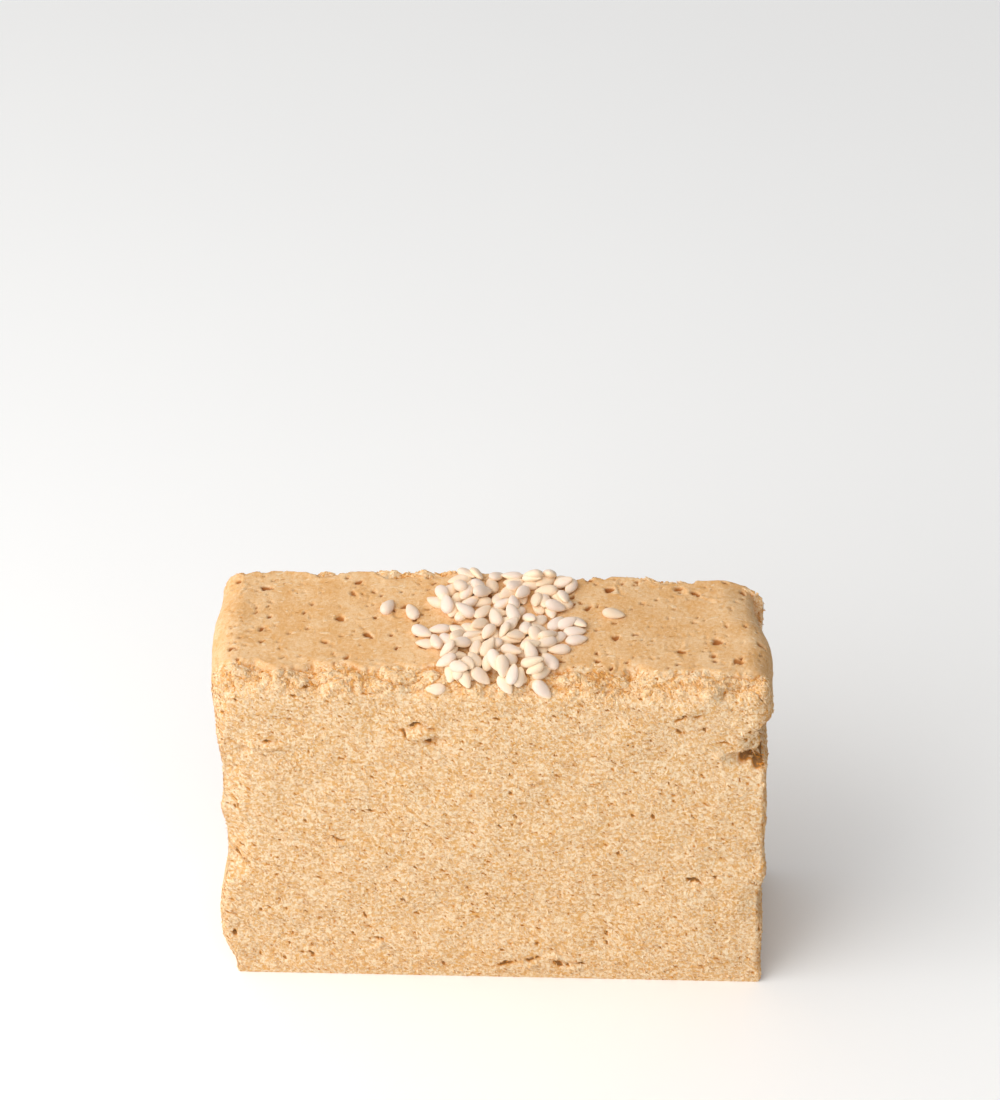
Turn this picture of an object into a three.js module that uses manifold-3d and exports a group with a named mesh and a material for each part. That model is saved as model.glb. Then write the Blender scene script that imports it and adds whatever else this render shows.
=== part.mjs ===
// One piece of sesame halva: a slice cut across a pressed loaf, with hulled sesame seeds strewn
// over the middle of its top.
//
// Millimetres, +Z up. The origin is the centre of the footprint, on the surface that the slice
// stands on. The two cut faces look towards -Y (front) and +Y (back). The top and the two sides
// are the loaf's own pressed skin, which broke away along the cut edges in a crumbly rim.
//
// The slice and its seeds are one solid. The surface of the slice is the zero level of a distance
// function with rounded edges, pushed in and out by a relief of swells, crags and named forms.

import * as THREE from 'three';
import * as BufferGeometryUtils from 'three/addons/utils/BufferGeometryUtils.js';
import Module from 'manifold-3d';

// ---------------------------------------------------------------- driving dimensions

const WIDTH = 80; // across the loaf, along X
const THICKNESS = 25; // of the slice, along Y
const HEIGHT = 58; // of the slice without its seeds, along Z

const CORNER_RADIUS = 3.8; // of the skin, where the loaf's sides meet its top
const FOOT_RADIUS = 0.5; // round the bottom
const FOOT_DRAW = 1.8; // how far the left side draws in towards its foot
const FOOT_DRAW_REACH = [1.5, 8]; // heights over which it does
const FRONT_RIM_RADIUS = 3.4; // of the broken edge between the top and the front cut
const BACK_RIM_RADIUS = 0.9; // of the edge between the top and the back cut
const UPRIGHT_EDGE_RADIUS = 1.1; // where the cuts meet the loaf's sides
const RIM_BLEND = [44, 55]; // heights over which the upright edges widen into the rims
const FOOT_BLEND = [0.8, 5]; // heights over which the relief grows from nothing

const SWELL_DEPTH = 0.4; // broad waves on every face
const SWELL_SIZE = 15;
const SIDE_SWELL_DEPTH = 0.6; // further waves on the loaf's sides
const SIDE_SWELL_SIZE = 8;
const LUMP_DEPTH = 0.22; // small lumps on the cut faces
const LUMP_SIZE = 4.2;
const CRAG_DEPTH = 0.9; // broken crumb along the rims, where the skin is gone
const CRAG_SIZE = 2.8;
const CRAG_LEAN = 0.2; // how much more the crags cut in than stand out
const CRAG_REACH = [2.5, 6.5]; // distance from the edge over which the crags fade out
const CRAG_DROP = 1.8; // how much faster they fade down the cut than across the top
const SKIN_THICKNESS = 0.3;
const FRONT_SKIN_GAP = 4.0; // from the front cut to where the top's skin starts
const BACK_SKIN_GAP = 0.7;
const UPRIGHT_SKIN_GAP = 1.3; // the same on the loaf's sides
const SKIN_RAGGEDNESS = 1.2; // how far the torn skin's border wanders
const SKIN_RAG_SIZE = 5;
const SKIN_SOFTNESS = 0.5; // half the width over which the skin gives out

// Shifts that keep the noises above from following each other.
const SIDE_SWELL_SHIFT = 7;
const LUMP_SHIFT = 3;
const CRAG_SHIFT = 31;
const SKIN_RAG_SHIFT = 11;

const SEED_LENGTH = 3.25;
const SEED_WIDTH = 1.85;
const SEED_THICKNESS = 1.15;
const SEED_SIZE_SPREAD = 0.1; // either way, as a share of the size
const SEED_TAPER = 0.24; // how much narrower a seed is towards its tip
const SEED_FULLNESS = 0.55; // exponent of a seed's outline, 0.5 for an ellipse
const SEED_SINK = 0.28; // depth that a seed is pressed into what it lies on
const SEED_STEEPEST = 0.9; // slope that a seed can lie on
const SEED_TRIES = 8; // places tried for a seed, of which the lowest is taken
const SEED_SIDES = 6;
const SEED_BANDS = 3;
const SEED_FACET_GAIN = 1.1; // makes up for the flats between a seed's corners
const FEELERS_ALONG = [-0.8, -0.4, 0, 0.4, 0.8]; // where a seed feels the ground under it,
const FEELERS_ACROSS = [-0.6, 0, 0.6]; // as shares of its half length and half width

const CELLS = [30, 9, 17]; // of the slice's surface, along X, Y and Z
const CROWDING = [0.25, 0.5, 0.5]; // how far the cells crowd towards the edges
const SETTLE_ROUNDS = 6; // taken to move a point of a box onto the slice's plain form
const SLOPE_STEP = 0.001; // between the places compared to find which way the form faces

const DROP_CELL = 0.25; // of the map of heights that the seeds fall on
const DROP_X = 21; // half the map's width
const DROP_Y = 13; // half the map's depth
const DROP_STEPS = 14; // taken straight down to find the surface
const RANDOM_SEED = 58;

// Forms broken out of the slice or standing on it, each a rounded mound over the reach given
// along X, Y and Z. A negative height is a hollow.
const FORMS = [
  { at: [-40, 3, 52], reach: [6, 15, 12], height: 0.7 }, // shoulder of the left side
  { at: [-40, -8, 38], reach: [5, 14, 9], height: -1.1 }, // hollow under that shoulder
  { at: [-40, -6, 25.5], reach: [6, 16, 9], height: -2.6 }, // waist of the left side
  { at: [-40, -8, 13], reach: [5, 9, 5], height: 0.5 }, // bulge above the left foot
  { at: [-40, 4, 13], reach: [6, 14, 11], height: -1.8 }, // hollow behind that bulge
  { at: [40, 11, 54], reach: [8, 15, 13], height: -2.2 }, // right shoulder, pressed in
  { at: [40, -8, 47], reach: [5, 12, 5], height: -3.3 }, // notch of the right side
  { at: [40, -9, 52], reach: [5, 7, 2.6], height: 0.4 }, // lip over the notch
  { at: [40, -3, 26], reach: [5, 14, 5], height: -1.1 }, // dent of the right side
  { at: [40, 3, 34], reach: [5, 14, 12], height: -1.5 }, // the same dent, rising to the back
  { at: [40, -5, 16], reach: [5, 16, 7], height: -1.6 }, // dent near the right foot
  { at: [36.3, -12.5, 44.2], reach: [3.2, 3, 1.9], height: -1.5 }, // torn hollow by the notch
  { at: [-10.4, -12.5, 48.2], reach: [2.9, 3, 1.4], height: 0.9 }, // flake standing on the front
  { at: [-8.2, -12.5, 46.8], reach: [2.3, 3, 1.1], height: -0.8 }, // hollow under that flake
  { at: [-32, -12.5, 45.4], reach: [3.4, 3, 1.3], height: 0.6 }, // flake at the left
  { at: [-35.8, -12.5, 44.6], reach: [1.6, 3, 1.4], height: -0.7 }, // pit beside it
  { at: [28, -12.5, 53.6], reach: [3.2, 3, 1.6], height: 0.6 }, // flake under the front rim
  { at: [36, -10.6, 57], reach: [3.4, 4, 2.6], height: -0.9 }, // scoop out of the front rim
  { at: [-27, -9.5, 58], reach: [3.6, 2.4, 2.4], height: -0.6 }, // skin lifted off the rim
  { at: [19, -9, 58], reach: [4.2, 2.2, 2.4], height: -0.6 }, // the same, right of the seeds
  { at: [11, 12.5, 57.5], reach: [3, 2.4, 2.4], height: -0.7 }, // nick in the back rim
  { at: [25, 12.5, 57.5], reach: [4, 2, 2.2], height: -0.8 }, // wider nick beside it
];

// Patches of seeds on the top: centre, half sizes along X and Y, and number of seeds.
const PATCHES = [
  { at: [-1.2, 10.3], half: [4.6, 1.3], count: 8 },
  { at: [-5.4, 6.0], half: [3.6, 3.6], count: 15 },
  { at: [1.0, 4.8], half: [3.4, 4.4], count: 14 },
  { at: [7.6, 7.0], half: [4.0, 4.2], count: 17 },
  { at: [-8.2, -2.1], half: [3.6, 2.4], count: 6 },
  { at: [-0.6, -2.0], half: [4.8, 3.4], count: 15 },
  { at: [8.1, -1.6], half: [4.9, 3.6], count: 16 },
  { at: [-3.4, -7.4], half: [3.5, 3.8], count: 15 },
  { at: [4.1, -7.4], half: [4.2, 3.8], count: 16 },
];

// Seeds that lie alone: place and heading in degrees from X.
const LONE_SEEDS = [
  { at: [-15.6, 4.0], heading: 70 },
  { at: [-12.1, 3.0], heading: 110 },
  { at: [17.1, 2.9], heading: -12 },
  { at: [-8.1, -11.6], heading: 178 },
  { at: [7.1, -11.6], heading: -28 },
  { at: [1.8, -11.7], heading: -48 },
];

// ---------------------------------------------------------------- noise and random draws

const LATTICE_FACTORS = [374761393, 668265263, 1274126177];
const LATTICE_MIX = 1103515245;
const HALF_RANGE = 2147483648;

function latticeValue(i, j, k) {
  const factors = LATTICE_FACTORS;
  let bits = Math.imul(i, factors[0]) + Math.imul(j, factors[1]) + Math.imul(k, factors[2]);
  bits = Math.imul(bits ^ (bits >>> 13), LATTICE_MIX);
  return ((bits ^ (bits >>> 16)) >>> 0) / HALF_RANGE - 1;
}

// Smooth noise between -1 and 1, with one swing for about each unit of distance.
function smoothNoise(x, y, z) {
  const cell = [Math.floor(x), Math.floor(y), Math.floor(z)];
  const ease = [x - cell[0], y - cell[1], z - cell[2]].map((t) => t * t * (3 - 2 * t));
  let total = 0;
  for (let corner = 0; corner < 8; corner += 1) {
    const step = [corner & 1, (corner >> 1) & 1, (corner >> 2) & 1];
    const share = step.reduce((product, s, axis) => product * (s ? ease[axis] : 1 - ease[axis]), 1);
    total += share * latticeValue(cell[0] + step[0], cell[1] + step[1], cell[2] + step[2]);
  }
  return total;
}

function noiseOfSize(size, shift, x, y, z) {
  return smoothNoise(x / size + shift, y / size + shift, z / size + shift);
}

// A generator of draws between 0 and 1 that repeats for the same start.
function randomDraws(start) {
  let state = start;
  return () => {
    state = (state + 0x6d2b79f5) | 0;
    let bits = Math.imul(state ^ (state >>> 15), 1 | state);
    bits = (bits + Math.imul(bits ^ (bits >>> 7), 61 | bits)) ^ bits;
    return ((bits ^ (bits >>> 14)) >>> 0) / (2 * HALF_RANGE);
  };
}

function smoothStep(low, high, value) {
  const t = Math.min(Math.max((value - low) / (high - low), 0), 1);
  return t * t * (3 - 2 * t);
}

// ---------------------------------------------------------------- the slice's plain form

// Distance to the body that two distances share, with their common edge rounded.
function roundedMeet(a, b, radius) {
  const outside = Math.hypot(Math.max(radius + a, 0), Math.max(radius + b, 0));
  return Math.min(Math.max(a, b), -radius) + outside;
}

function cutEdgeRadius(y, z) {
  const rim = y < 0 ? FRONT_RIM_RADIUS : BACK_RIM_RADIUS;
  const towardsRim = smoothStep(RIM_BLEND[0], RIM_BLEND[1], z);
  const towardsFoot = 1 - smoothStep(FOOT_BLEND[0], FOOT_BLEND[1], z);
  const upright = UPRIGHT_EDGE_RADIUS + (FOOT_RADIUS - UPRIGHT_EDGE_RADIUS) * towardsFoot;
  return upright + (rim - upright) * towardsRim;
}

function halfWidth(x, z) {
  const draw = 1 - smoothStep(FOOT_DRAW_REACH[0], FOOT_DRAW_REACH[1], z);
  return WIDTH / 2 - (x < 0 ? FOOT_DRAW * draw : 0);
}

function plainDistance(x, y, z) {
  const skin = roundedMeet(Math.abs(x) - halfWidth(x, z), z - HEIGHT, CORNER_RADIUS);
  const loaf = roundedMeet(skin, -z, FOOT_RADIUS);
  return roundedMeet(loaf, Math.abs(y) - THICKNESS / 2, cutEdgeRadius(y, z));
}

function outwardAt(point) {
  const step = SLOPE_STEP;
  const { x, y, z } = point;
  return new THREE.Vector3(
    plainDistance(x + step, y, z) - plainDistance(x - step, y, z),
    plainDistance(x, y + step, z) - plainDistance(x, y - step, z),
    plainDistance(x, y, z + step) - plainDistance(x, y, z - step),
  ).normalize();
}

// ---------------------------------------------------------------- the slice's relief

function mound(form, x, y, z) {
  const away = [x, y, z].map((value, axis) => (value - form.at[axis]) / form.reach[axis]);
  const square = away[0] ** 2 + away[1] ** 2 + away[2] ** 2;
  return form.height * Math.max(0, 1 - square) ** 2;
}

// How bare of skin a place is, from 0 to 1.
function bareness(x, y, z) {
  const top = y < 0 ? FRONT_SKIN_GAP : BACK_SKIN_GAP;
  const towardsTop = smoothStep(RIM_BLEND[0], RIM_BLEND[1], z);
  const gap = UPRIGHT_SKIN_GAP + (top - UPRIGHT_SKIN_GAP) * towardsTop;
  const wander = SKIN_RAGGEDNESS * noiseOfSize(SKIN_RAG_SIZE, SKIN_RAG_SHIFT, x, y, z);
  const inward = THICKNESS / 2 - Math.abs(y);
  return 1 - smoothStep(-SKIN_SOFTNESS, SKIN_SOFTNESS, inward - gap - wander);
}

function brokenRim(x, y, z) {
  const fromEdge = Math.hypot(Math.abs(y) - THICKNESS / 2, CRAG_DROP * (z - HEIGHT));
  const near = 1 - smoothStep(CRAG_REACH[0], CRAG_REACH[1], fromEdge);
  const crag = CRAG_DEPTH * (noiseOfSize(CRAG_SIZE, CRAG_SHIFT, x, y, z) - CRAG_LEAN);
  return near * bareness(x, y, z) * (crag - SKIN_THICKNESS);
}

// Height of the true surface over the plain one, given how far each way the plain one faces.
function relief(x, y, z, facing) {
  const sideSwell = SIDE_SWELL_DEPTH * noiseOfSize(SIDE_SWELL_SIZE, SIDE_SWELL_SHIFT, x, y, z);
  const lump = LUMP_DEPTH * noiseOfSize(LUMP_SIZE, LUMP_SHIFT, x, y, z);
  let height = SWELL_DEPTH * noiseOfSize(SWELL_SIZE, 0, x, y, z) + brokenRim(x, y, z);
  height += sideSwell * Math.abs(facing.x) + lump * Math.abs(facing.y);
  height += FORMS.reduce((sum, form) => sum + mound(form, x, y, z), 0);
  return height * smoothStep(FOOT_BLEND[0], FOOT_BLEND[1], z);
}

// Moves a point of the plain block onto the rounded slice, then by the relief.
function settle(point) {
  for (let round = 0; round < SETTLE_ROUNDS; round += 1) {
    const gap = plainDistance(point.x, point.y, point.z);
    point.addScaledVector(outwardAt(point), -gap);
  }
  const facing = outwardAt(point);
  return point.addScaledVector(facing, relief(point.x, point.y, point.z, facing));
}

// ---------------------------------------------------------------- the slice's solid

function crowd(t, share) {
  return (1 - share) * t + share * Math.sin((Math.PI * t) / 2);
}

function sliceGeometry() {
  const box = new THREE.BoxGeometry(2, 2, 2, ...CELLS);
  const half = [WIDTH / 2, THICKNESS / 2, HEIGHT / 2];
  const place = box.attributes.position;
  const point = new THREE.Vector3();
  for (let i = 0; i < place.count; i += 1) {
    point.fromBufferAttribute(place, i);
    const spread = point.toArray().map((t, axis) => half[axis] * crowd(t, CROWDING[axis]));
    point.fromArray(spread);
    point.z += half[2];
    settle(point);
    place.setXYZ(i, point.x, point.y, Math.max(point.z, 0));
  }
  return box;
}

// ---------------------------------------------------------------- the seeds

// Half width of a seed at a place from -1 to 1 along it, as a share of its greatest.
function seedOutline(along) {
  return (1 - along * along) ** SEED_FULLNESS * (1 - SEED_TAPER * along);
}

function seedGeometry() {
  const ball = new THREE.SphereGeometry(1, SEED_SIDES, SEED_BANDS);
  const place = ball.attributes.position;
  for (let i = 0; i < place.count; i += 1) {
    const along = place.getY(i);
    const across = Math.hypot(place.getX(i), place.getZ(i));
    const girth = across > 0 ? (seedOutline(along) * SEED_FACET_GAIN) / across : 0;
    const width = (place.getX(i) * girth * SEED_WIDTH) / 2;
    const thickness = (place.getZ(i) * girth * SEED_THICKNESS) / 2;
    place.setXYZ(i, (along * SEED_LENGTH) / 2, -width, thickness);
  }
  return ball;
}

// The heights that a falling seed meets, in square cells over the middle of the top.
class DropMap {
  constructor() {
    this.columns = Math.round((2 * DROP_X) / DROP_CELL);
    this.rows = Math.round((2 * DROP_Y) / DROP_CELL);
    this.heights = new Float64Array(this.columns * this.rows);
    for (let row = 0; row < this.rows; row += 1) {
      for (let column = 0; column < this.columns; column += 1) {
        const x = (column + 0.5) * DROP_CELL - DROP_X;
        const y = (row + 0.5) * DROP_CELL - DROP_Y;
        this.heights[row * this.columns + column] = DropMap.surface(x, y);
      }
    }
  }

  static surface(x, y) {
    let z = HEIGHT + 1;
    for (let step = 0; step < DROP_STEPS; step += 1) {
      const facing = outwardAt(new THREE.Vector3(x, y, z));
      z -= plainDistance(x, y, z) - relief(x, y, z, facing);
    }
    return z;
  }

  indexOf(x, y) {
    const column = Math.floor((x + DROP_X) / DROP_CELL);
    const row = Math.floor((y + DROP_Y) / DROP_CELL);
    const inside = column >= 0 && column < this.columns && row >= 0 && row < this.rows;
    return inside ? row * this.columns + column : -1;
  }
}

// The way a seed of a given size comes to rest: on the plane that fits the heights under it,
// lifted until no part of it is deeper than its sink.
function rest(map, x, y, heading, size) {
  const half = [(size * SEED_LENGTH) / 2, (size * SEED_WIDTH) / 2, (size * SEED_THICKNESS) / 2];
  const [cos, sin] = [Math.cos(heading), Math.sin(heading)];
  const samples = [];
  for (const along of FEELERS_ALONG) {
    for (const across of FEELERS_ACROSS) {
      const [u, v] = [along * half[0], across * half[1]];
      const index = map.indexOf(x + u * cos - v * sin, y + u * sin + v * cos);
      const ground = index < 0 ? map.heights[map.indexOf(x, y)] : map.heights[index];
      const belly = half[2] * Math.sqrt(Math.max(0, 1 - along * along - across * across));
      samples.push({ u, v, ground, belly });
    }
  }
  const sum = (value) => samples.reduce((total, sample) => total + value(sample), 0);
  const limit = (slope) => Math.min(Math.max(slope, -SEED_STEEPEST), SEED_STEEPEST);
  const pitch = limit(sum((s) => s.u * s.ground) / sum((s) => s.u * s.u));
  const roll = limit(sum((s) => s.v * s.ground) / sum((s) => s.v * s.v));
  const lift = samples.map((s) => s.ground + s.belly - pitch * s.u - roll * s.v);
  return { x, y, z: Math.max(...lift) - SEED_SINK, heading, pitch, roll, size, half };
}

// Adds a resting seed's back to the heights that later seeds meet.
function cover(map, seed) {
  const [cos, sin] = [Math.cos(seed.heading), Math.sin(seed.heading)];
  const reach = Math.ceil(seed.half[0] / DROP_CELL);
  for (let row = -reach; row <= reach; row += 1) {
    for (let column = -reach; column <= reach; column += 1) {
      const [dx, dy] = [column * DROP_CELL, row * DROP_CELL];
      const [u, v] = [dx * cos + dy * sin, dy * cos - dx * sin];
      const square = (u / seed.half[0]) ** 2 + (v / seed.half[1]) ** 2;
      const index = map.indexOf(seed.x + dx, seed.y + dy);
      if (square < 1 && index >= 0) {
        const back = seed.z + seed.pitch * u + seed.roll * v + seed.half[2] * Math.sqrt(1 - square);
        map.heights[index] = Math.max(map.heights[index], back);
      }
    }
  }
}

function strewSeeds() {
  const map = new DropMap();
  const draw = randomDraws(RANDOM_SEED);
  const drawSize = () => 1 + SEED_SIZE_SPREAD * (2 * draw() - 1);
  const seeds = [];
  const keep = (seed) => {
    cover(map, seed);
    seeds.push(seed);
  };
  for (const lone of LONE_SEEDS) {
    keep(rest(map, ...lone.at, THREE.MathUtils.degToRad(lone.heading), drawSize()));
  }
  for (const patch of PATCHES) {
    for (let n = 0; n < patch.count; n += 1) {
      const size = drawSize();
      const places = [];
      for (let attempt = 0; attempt < SEED_TRIES; attempt += 1) {
        const far = Math.sqrt(draw());
        const turn = 2 * Math.PI * draw();
        const x = patch.at[0] + patch.half[0] * far * Math.cos(turn);
        const y = patch.at[1] + patch.half[1] * far * Math.sin(turn);
        places.push(rest(map, x, y, 2 * Math.PI * draw(), size));
      }
      keep(places.reduce((lowest, place) => (place.z < lowest.z ? place : lowest)));
    }
  }
  return seeds;
}

function seedMatrix(seed) {
  const along = new THREE.Vector3(Math.cos(seed.heading), Math.sin(seed.heading), seed.pitch);
  const aside = new THREE.Vector3(-Math.sin(seed.heading), Math.cos(seed.heading), seed.roll);
  along.normalize();
  const up = new THREE.Vector3().crossVectors(along, aside).normalize();
  aside.crossVectors(up, along);
  const matrix = new THREE.Matrix4().makeBasis(along, aside, up);
  matrix.scale(new THREE.Vector3(seed.size, seed.size, seed.size));
  return matrix.setPosition(seed.x, seed.y, seed.z);
}

// ---------------------------------------------------------------- one solid

const wasm = await Module();
wasm.setup();

function toSolid(geometry) {
  geometry.deleteAttribute('normal');
  geometry.deleteAttribute('uv');
  const merged = BufferGeometryUtils.mergeVertices(geometry);
  const vertProperties = new Float32Array(merged.attributes.position.array);
  const triVerts = new Uint32Array(merged.index.array);
  return new wasm.Manifold(new wasm.Mesh({ numProp: 3, vertProperties, triVerts }));
}

function toGeometry(solid) {
  const mesh = solid.getMesh();
  const geometry = new THREE.BufferGeometry();
  geometry.setAttribute('position', new THREE.BufferAttribute(mesh.vertProperties, 3));
  geometry.setIndex(new THREE.BufferAttribute(mesh.triVerts, 1));
  geometry.computeVertexNormals();
  return geometry;
}

function halvaGeometry() {
  const seed = seedGeometry();
  let solid = toSolid(sliceGeometry());
  for (const place of strewSeeds()) {
    solid = solid.add(toSolid(seed.clone().applyMatrix4(seedMatrix(place))));
  }
  // A seed that touches nothing and the skin of a sealed gap come out as bodies of their own.
  const bodies = solid.decompose();
  return toGeometry(bodies.reduce((a, b) => (b.volume() > a.volume() ? b : a)));
}

const halva = new THREE.MeshStandardMaterial({ color: 0xecc494, roughness: 0.82, metalness: 0 });

const piece = new THREE.Mesh(halvaGeometry(), halva);
piece.name = 'halva_piece';

const slice = new THREE.Group();
slice.add(piece);

export default slice;
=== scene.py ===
"""One piece of sesame halva: an upright slice of a pressed loaf with seeds strewn on its top.

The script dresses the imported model: a finely modelled slice, its hulled seeds, and the slivers
and crumbs that stand on its broken faces. Shapes are worked out in millimetres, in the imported
model's frame (X right, Y back, Z up, origin under the middle of the slice), and become metres
when their meshes are made.
"""

import logging
import math
from dataclasses import dataclass, field
from enum import Enum
from functools import cached_property
from itertools import product
from typing import Any, Callable, Iterable, Sequence

import bpy
import numpy as np
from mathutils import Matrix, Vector


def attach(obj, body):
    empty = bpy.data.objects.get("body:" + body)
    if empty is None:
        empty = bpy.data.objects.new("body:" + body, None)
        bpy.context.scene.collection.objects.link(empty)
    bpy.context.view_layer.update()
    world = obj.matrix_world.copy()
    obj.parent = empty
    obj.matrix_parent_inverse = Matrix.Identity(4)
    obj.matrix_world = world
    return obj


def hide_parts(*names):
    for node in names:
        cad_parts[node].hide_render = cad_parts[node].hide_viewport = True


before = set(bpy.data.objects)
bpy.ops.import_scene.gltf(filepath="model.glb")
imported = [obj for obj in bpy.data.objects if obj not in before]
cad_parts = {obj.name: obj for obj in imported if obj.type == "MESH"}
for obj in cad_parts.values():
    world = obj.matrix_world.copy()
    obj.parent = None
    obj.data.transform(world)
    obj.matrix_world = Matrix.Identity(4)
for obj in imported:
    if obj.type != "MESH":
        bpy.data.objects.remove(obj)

MM = 0.001  # metres in a millimetre
WORD = 0xFFFFFFFF  # the bits that random draws keep
STIR = (374761393, 668265263, 1274126177, 1103515245)  # odd factors that stir those bits
DRAW_STEP = 0x6D2B79F5  # odd step from one draw to the next
LAYER_SHIFT = 17.3  # moves each layer of noise away from the one before
FRONT = -12.5  # where the front cut face stands along Y
LEDGE_REACH = 3  # how far small forms of that face reach along Y
BODY = "root"
NODE = "halva_piece"

Array = np.ndarray
Colour = tuple[float, float, float]
Triple = tuple[float, float, float]  # one number along each axis
Pair = tuple[float, float]
Range = tuple[float, float]  # two ends, between which something rises or is drawn
Socket = bpy.types.NodeSocket
Fed = Any  # a value, a Socket or a Channel, for the input of a node

log = logging.getLogger("halva")


class Slot(Enum):
    """The record's material slots."""

    HALVA = "halva"
    SESAME = "sesame"


class Mask(Enum):
    """What a mesh tells its finish about each of its points."""

    SKIN = "skin"  # 1 on the loaf's pressed skin, 0 on broken crumb
    PAINTED_SHADE_AND_GLOW = "hollow"  # painted shade on the slice, by how deep a point lies in a pit, gap, crease or cave, how the seeds shelter it and, on the bare right end, how it faces away from the key light; on a seed, its painted glow by how sheltered it is
    RIM = "rim"  # 1 on the crumbly rims along the upper edges
    SHADE = "shade"  # a draw for each seed, sliver or crumb, from 0 to 1, lowered on slivers and crumbs by the painted shade of the hollows they stand in
    ALONG = "along"  # from 0 at a seed's blunt end to 1 at its tip


# ------------------------------------------------------------------ noise and random draws


def lattice_value(i: Array, j: Array, k: Array) -> Array:
    """A fixed draw between -1 and 1 for each whole-numbered point of space.

    Args:
        i, j, k: whole coordinates.

    Returns:
        One draw for each point.
    """
    bits = (i * STIR[0] + j * STIR[1] + k * STIR[2]) & WORD
    bits = ((bits ^ (bits >> 13)) * STIR[3]) & WORD
    return (bits ^ (bits >> 16)) * 2 / (WORD + 1) - 1


def smooth_noise(places: Array) -> Array:
    """Smooth noise between -1 and 1, with one swing for about each unit of distance.

    Args:
        places: points, three numbers each.

    Returns:
        One value for each point.
    """
    cell = np.floor(places).astype(np.int64)
    ease = places - cell
    ease = ease * ease * (3 - 2 * ease)
    total = np.zeros(len(places))
    for step in product((0, 1), repeat=3):
        share = np.ones(len(places))
        for axis, far in enumerate(step):
            share = share * (ease[:, axis] if far else 1 - ease[:, axis])
        total += share * lattice_value(*(cell[:, axis] + step[axis] for axis in range(3)))
    return total


def layered_noise(places: Array, size: float, layers: int, keep: float = 0.5) -> Array:
    """Noise with finer and fainter noise on it.

    Args:
        places: points in millimetres.
        size: distance of one swing of the broadest layer.
        layers: how many layers, each twice as fine as the one before.
        keep: strength of a layer as a share of the one before.

    Returns:
        One value for each point, mostly between -1 and 1.
    """
    total, strength, reach = np.zeros(len(places)), 1.0, 0.0
    for layer in range(layers):
        total += strength * smooth_noise(places * (2**layer / size) + LAYER_SHIFT * layer)
        reach += strength
        strength *= keep
    return total / reach


def smooth_step(low: float, high: float, value: Array) -> Array:
    """Rises from 0 at low to 1 at high with no kink at either end."""
    t = np.clip((value - low) / (high - low), 0, 1)
    return t * t * (3 - 2 * t)


def random_draws(start: int) -> Callable[[], float]:
    """A generator of draws between 0 and 1 that repeats for the same start.

    Args:
        start: a whole number.

    Returns:
        A function that gives the next draw.
    """
    state = start

    def draw() -> float:
        """Draws once.

        Returns:
            The next draw.
        """
        nonlocal state
        state = (state + DRAW_STEP) & WORD
        bits = ((state ^ (state >> 15)) * (1 | state)) & WORD
        bits = ((bits + (((bits ^ (bits >> 7)) * (61 | bits)) & WORD)) & WORD) ^ bits
        return (bits ^ (bits >> 14)) / (WORD + 1)

    return draw


@dataclass(frozen=True)
class Swings:
    """Smooth noise of a depth, with swings of a size in millimetres, set apart by its shift."""

    depth: float
    size: float
    shift: float
    layers: int = 1  # each twice as fine as the one before
    keep: float = 0.5  # strength of a layer as a share of the one before

    def over(self, places: Array) -> Array:
        """The noise at each place, between minus and plus its depth.

        Args:
            places: points in millimetres.

        Returns:
            One value for each point.
        """
        if self.layers == 1:
            return self.depth * smooth_noise(places / self.size + self.shift)
        return self.depth * layered_noise(places + self.shift, self.size, self.layers, self.keep)


# ------------------------------------------------------------------ meshes


def mesh_object(
    name: str,
    points: Array,
    faces: Iterable[Sequence[int]],
    masks: dict[Mask, Array],
    places: Array | None = None,
    smooth: bool = True,
) -> bpy.types.Object:
    """Makes an object of points in millimetres.

    Args:
        name: name of the object and its mesh.
        points: its vertices, in millimetres.
        faces: the vertices round each face, seen from outside.
        masks: one number for each vertex, for the finish to read.
        places: two numbers for each vertex, its place on the flat map of the surface.
        smooth: whether the faces shade into each other.

    Returns:
        The object, in the scene.
    """
    mesh = bpy.data.meshes.new(name)
    mesh.from_pydata((points * MM).tolist(), [], [list(face) for face in faces])
    mesh.polygons.foreach_set("use_smooth", [smooth] * len(mesh.polygons))
    for mask, values in masks.items():
        layer = mesh.attributes.new(mask.value, "FLOAT", "POINT")
        layer.data.foreach_set("value", values.astype(np.float32))
    if places is not None:
        corner_vertex = np.empty(len(mesh.loops), np.int32)
        mesh.loops.foreach_get("vertex_index", corner_vertex)
        layer = mesh.uv_layers.new(name="OFBake")
        layer.uv.foreach_set("vector", places[corner_vertex].astype(np.float32).ravel())
    mesh.update()
    made = bpy.data.objects.new(name, mesh)
    bpy.context.collection.objects.link(made)
    return made


def hand_over(piece: bpy.types.Object, material: bpy.types.Material) -> None:
    """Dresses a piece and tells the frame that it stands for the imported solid, on its body.

    Args:
        piece: the piece.
        material: its finish.
    """
    piece.data.materials.append(material)
    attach(piece, BODY)
    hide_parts(NODE)
    log.info("%s: %d faces", piece.name, len(piece.data.polygons))


# ------------------------------------------------------------------ shader maths


@dataclass(frozen=True)
class Noise:
    """Noise of a finish."""

    size: float  # millimetres of one swing
    detail: float = 2  # how many finer layers lie on it
    rough: float = 0.5  # strength of a layer as a share of the one before


@dataclass(frozen=True)
class Cells:
    """Cells that divide a surface, each with a spot in its middle that may show."""

    spacing: float  # millimetres between neighbours
    warp: Pair | None = None  # size and push of the noise that bends them, in millimetres
    stretch: Triple | None = None
    turn: float = 0  # degrees about Z
    growth: float = 1  # how much larger a spot is for a higher draw
    least: float = 0  # what is taken off its size, so that only some show
    edge: Range = (0, 1)  # how soft it is


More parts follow.
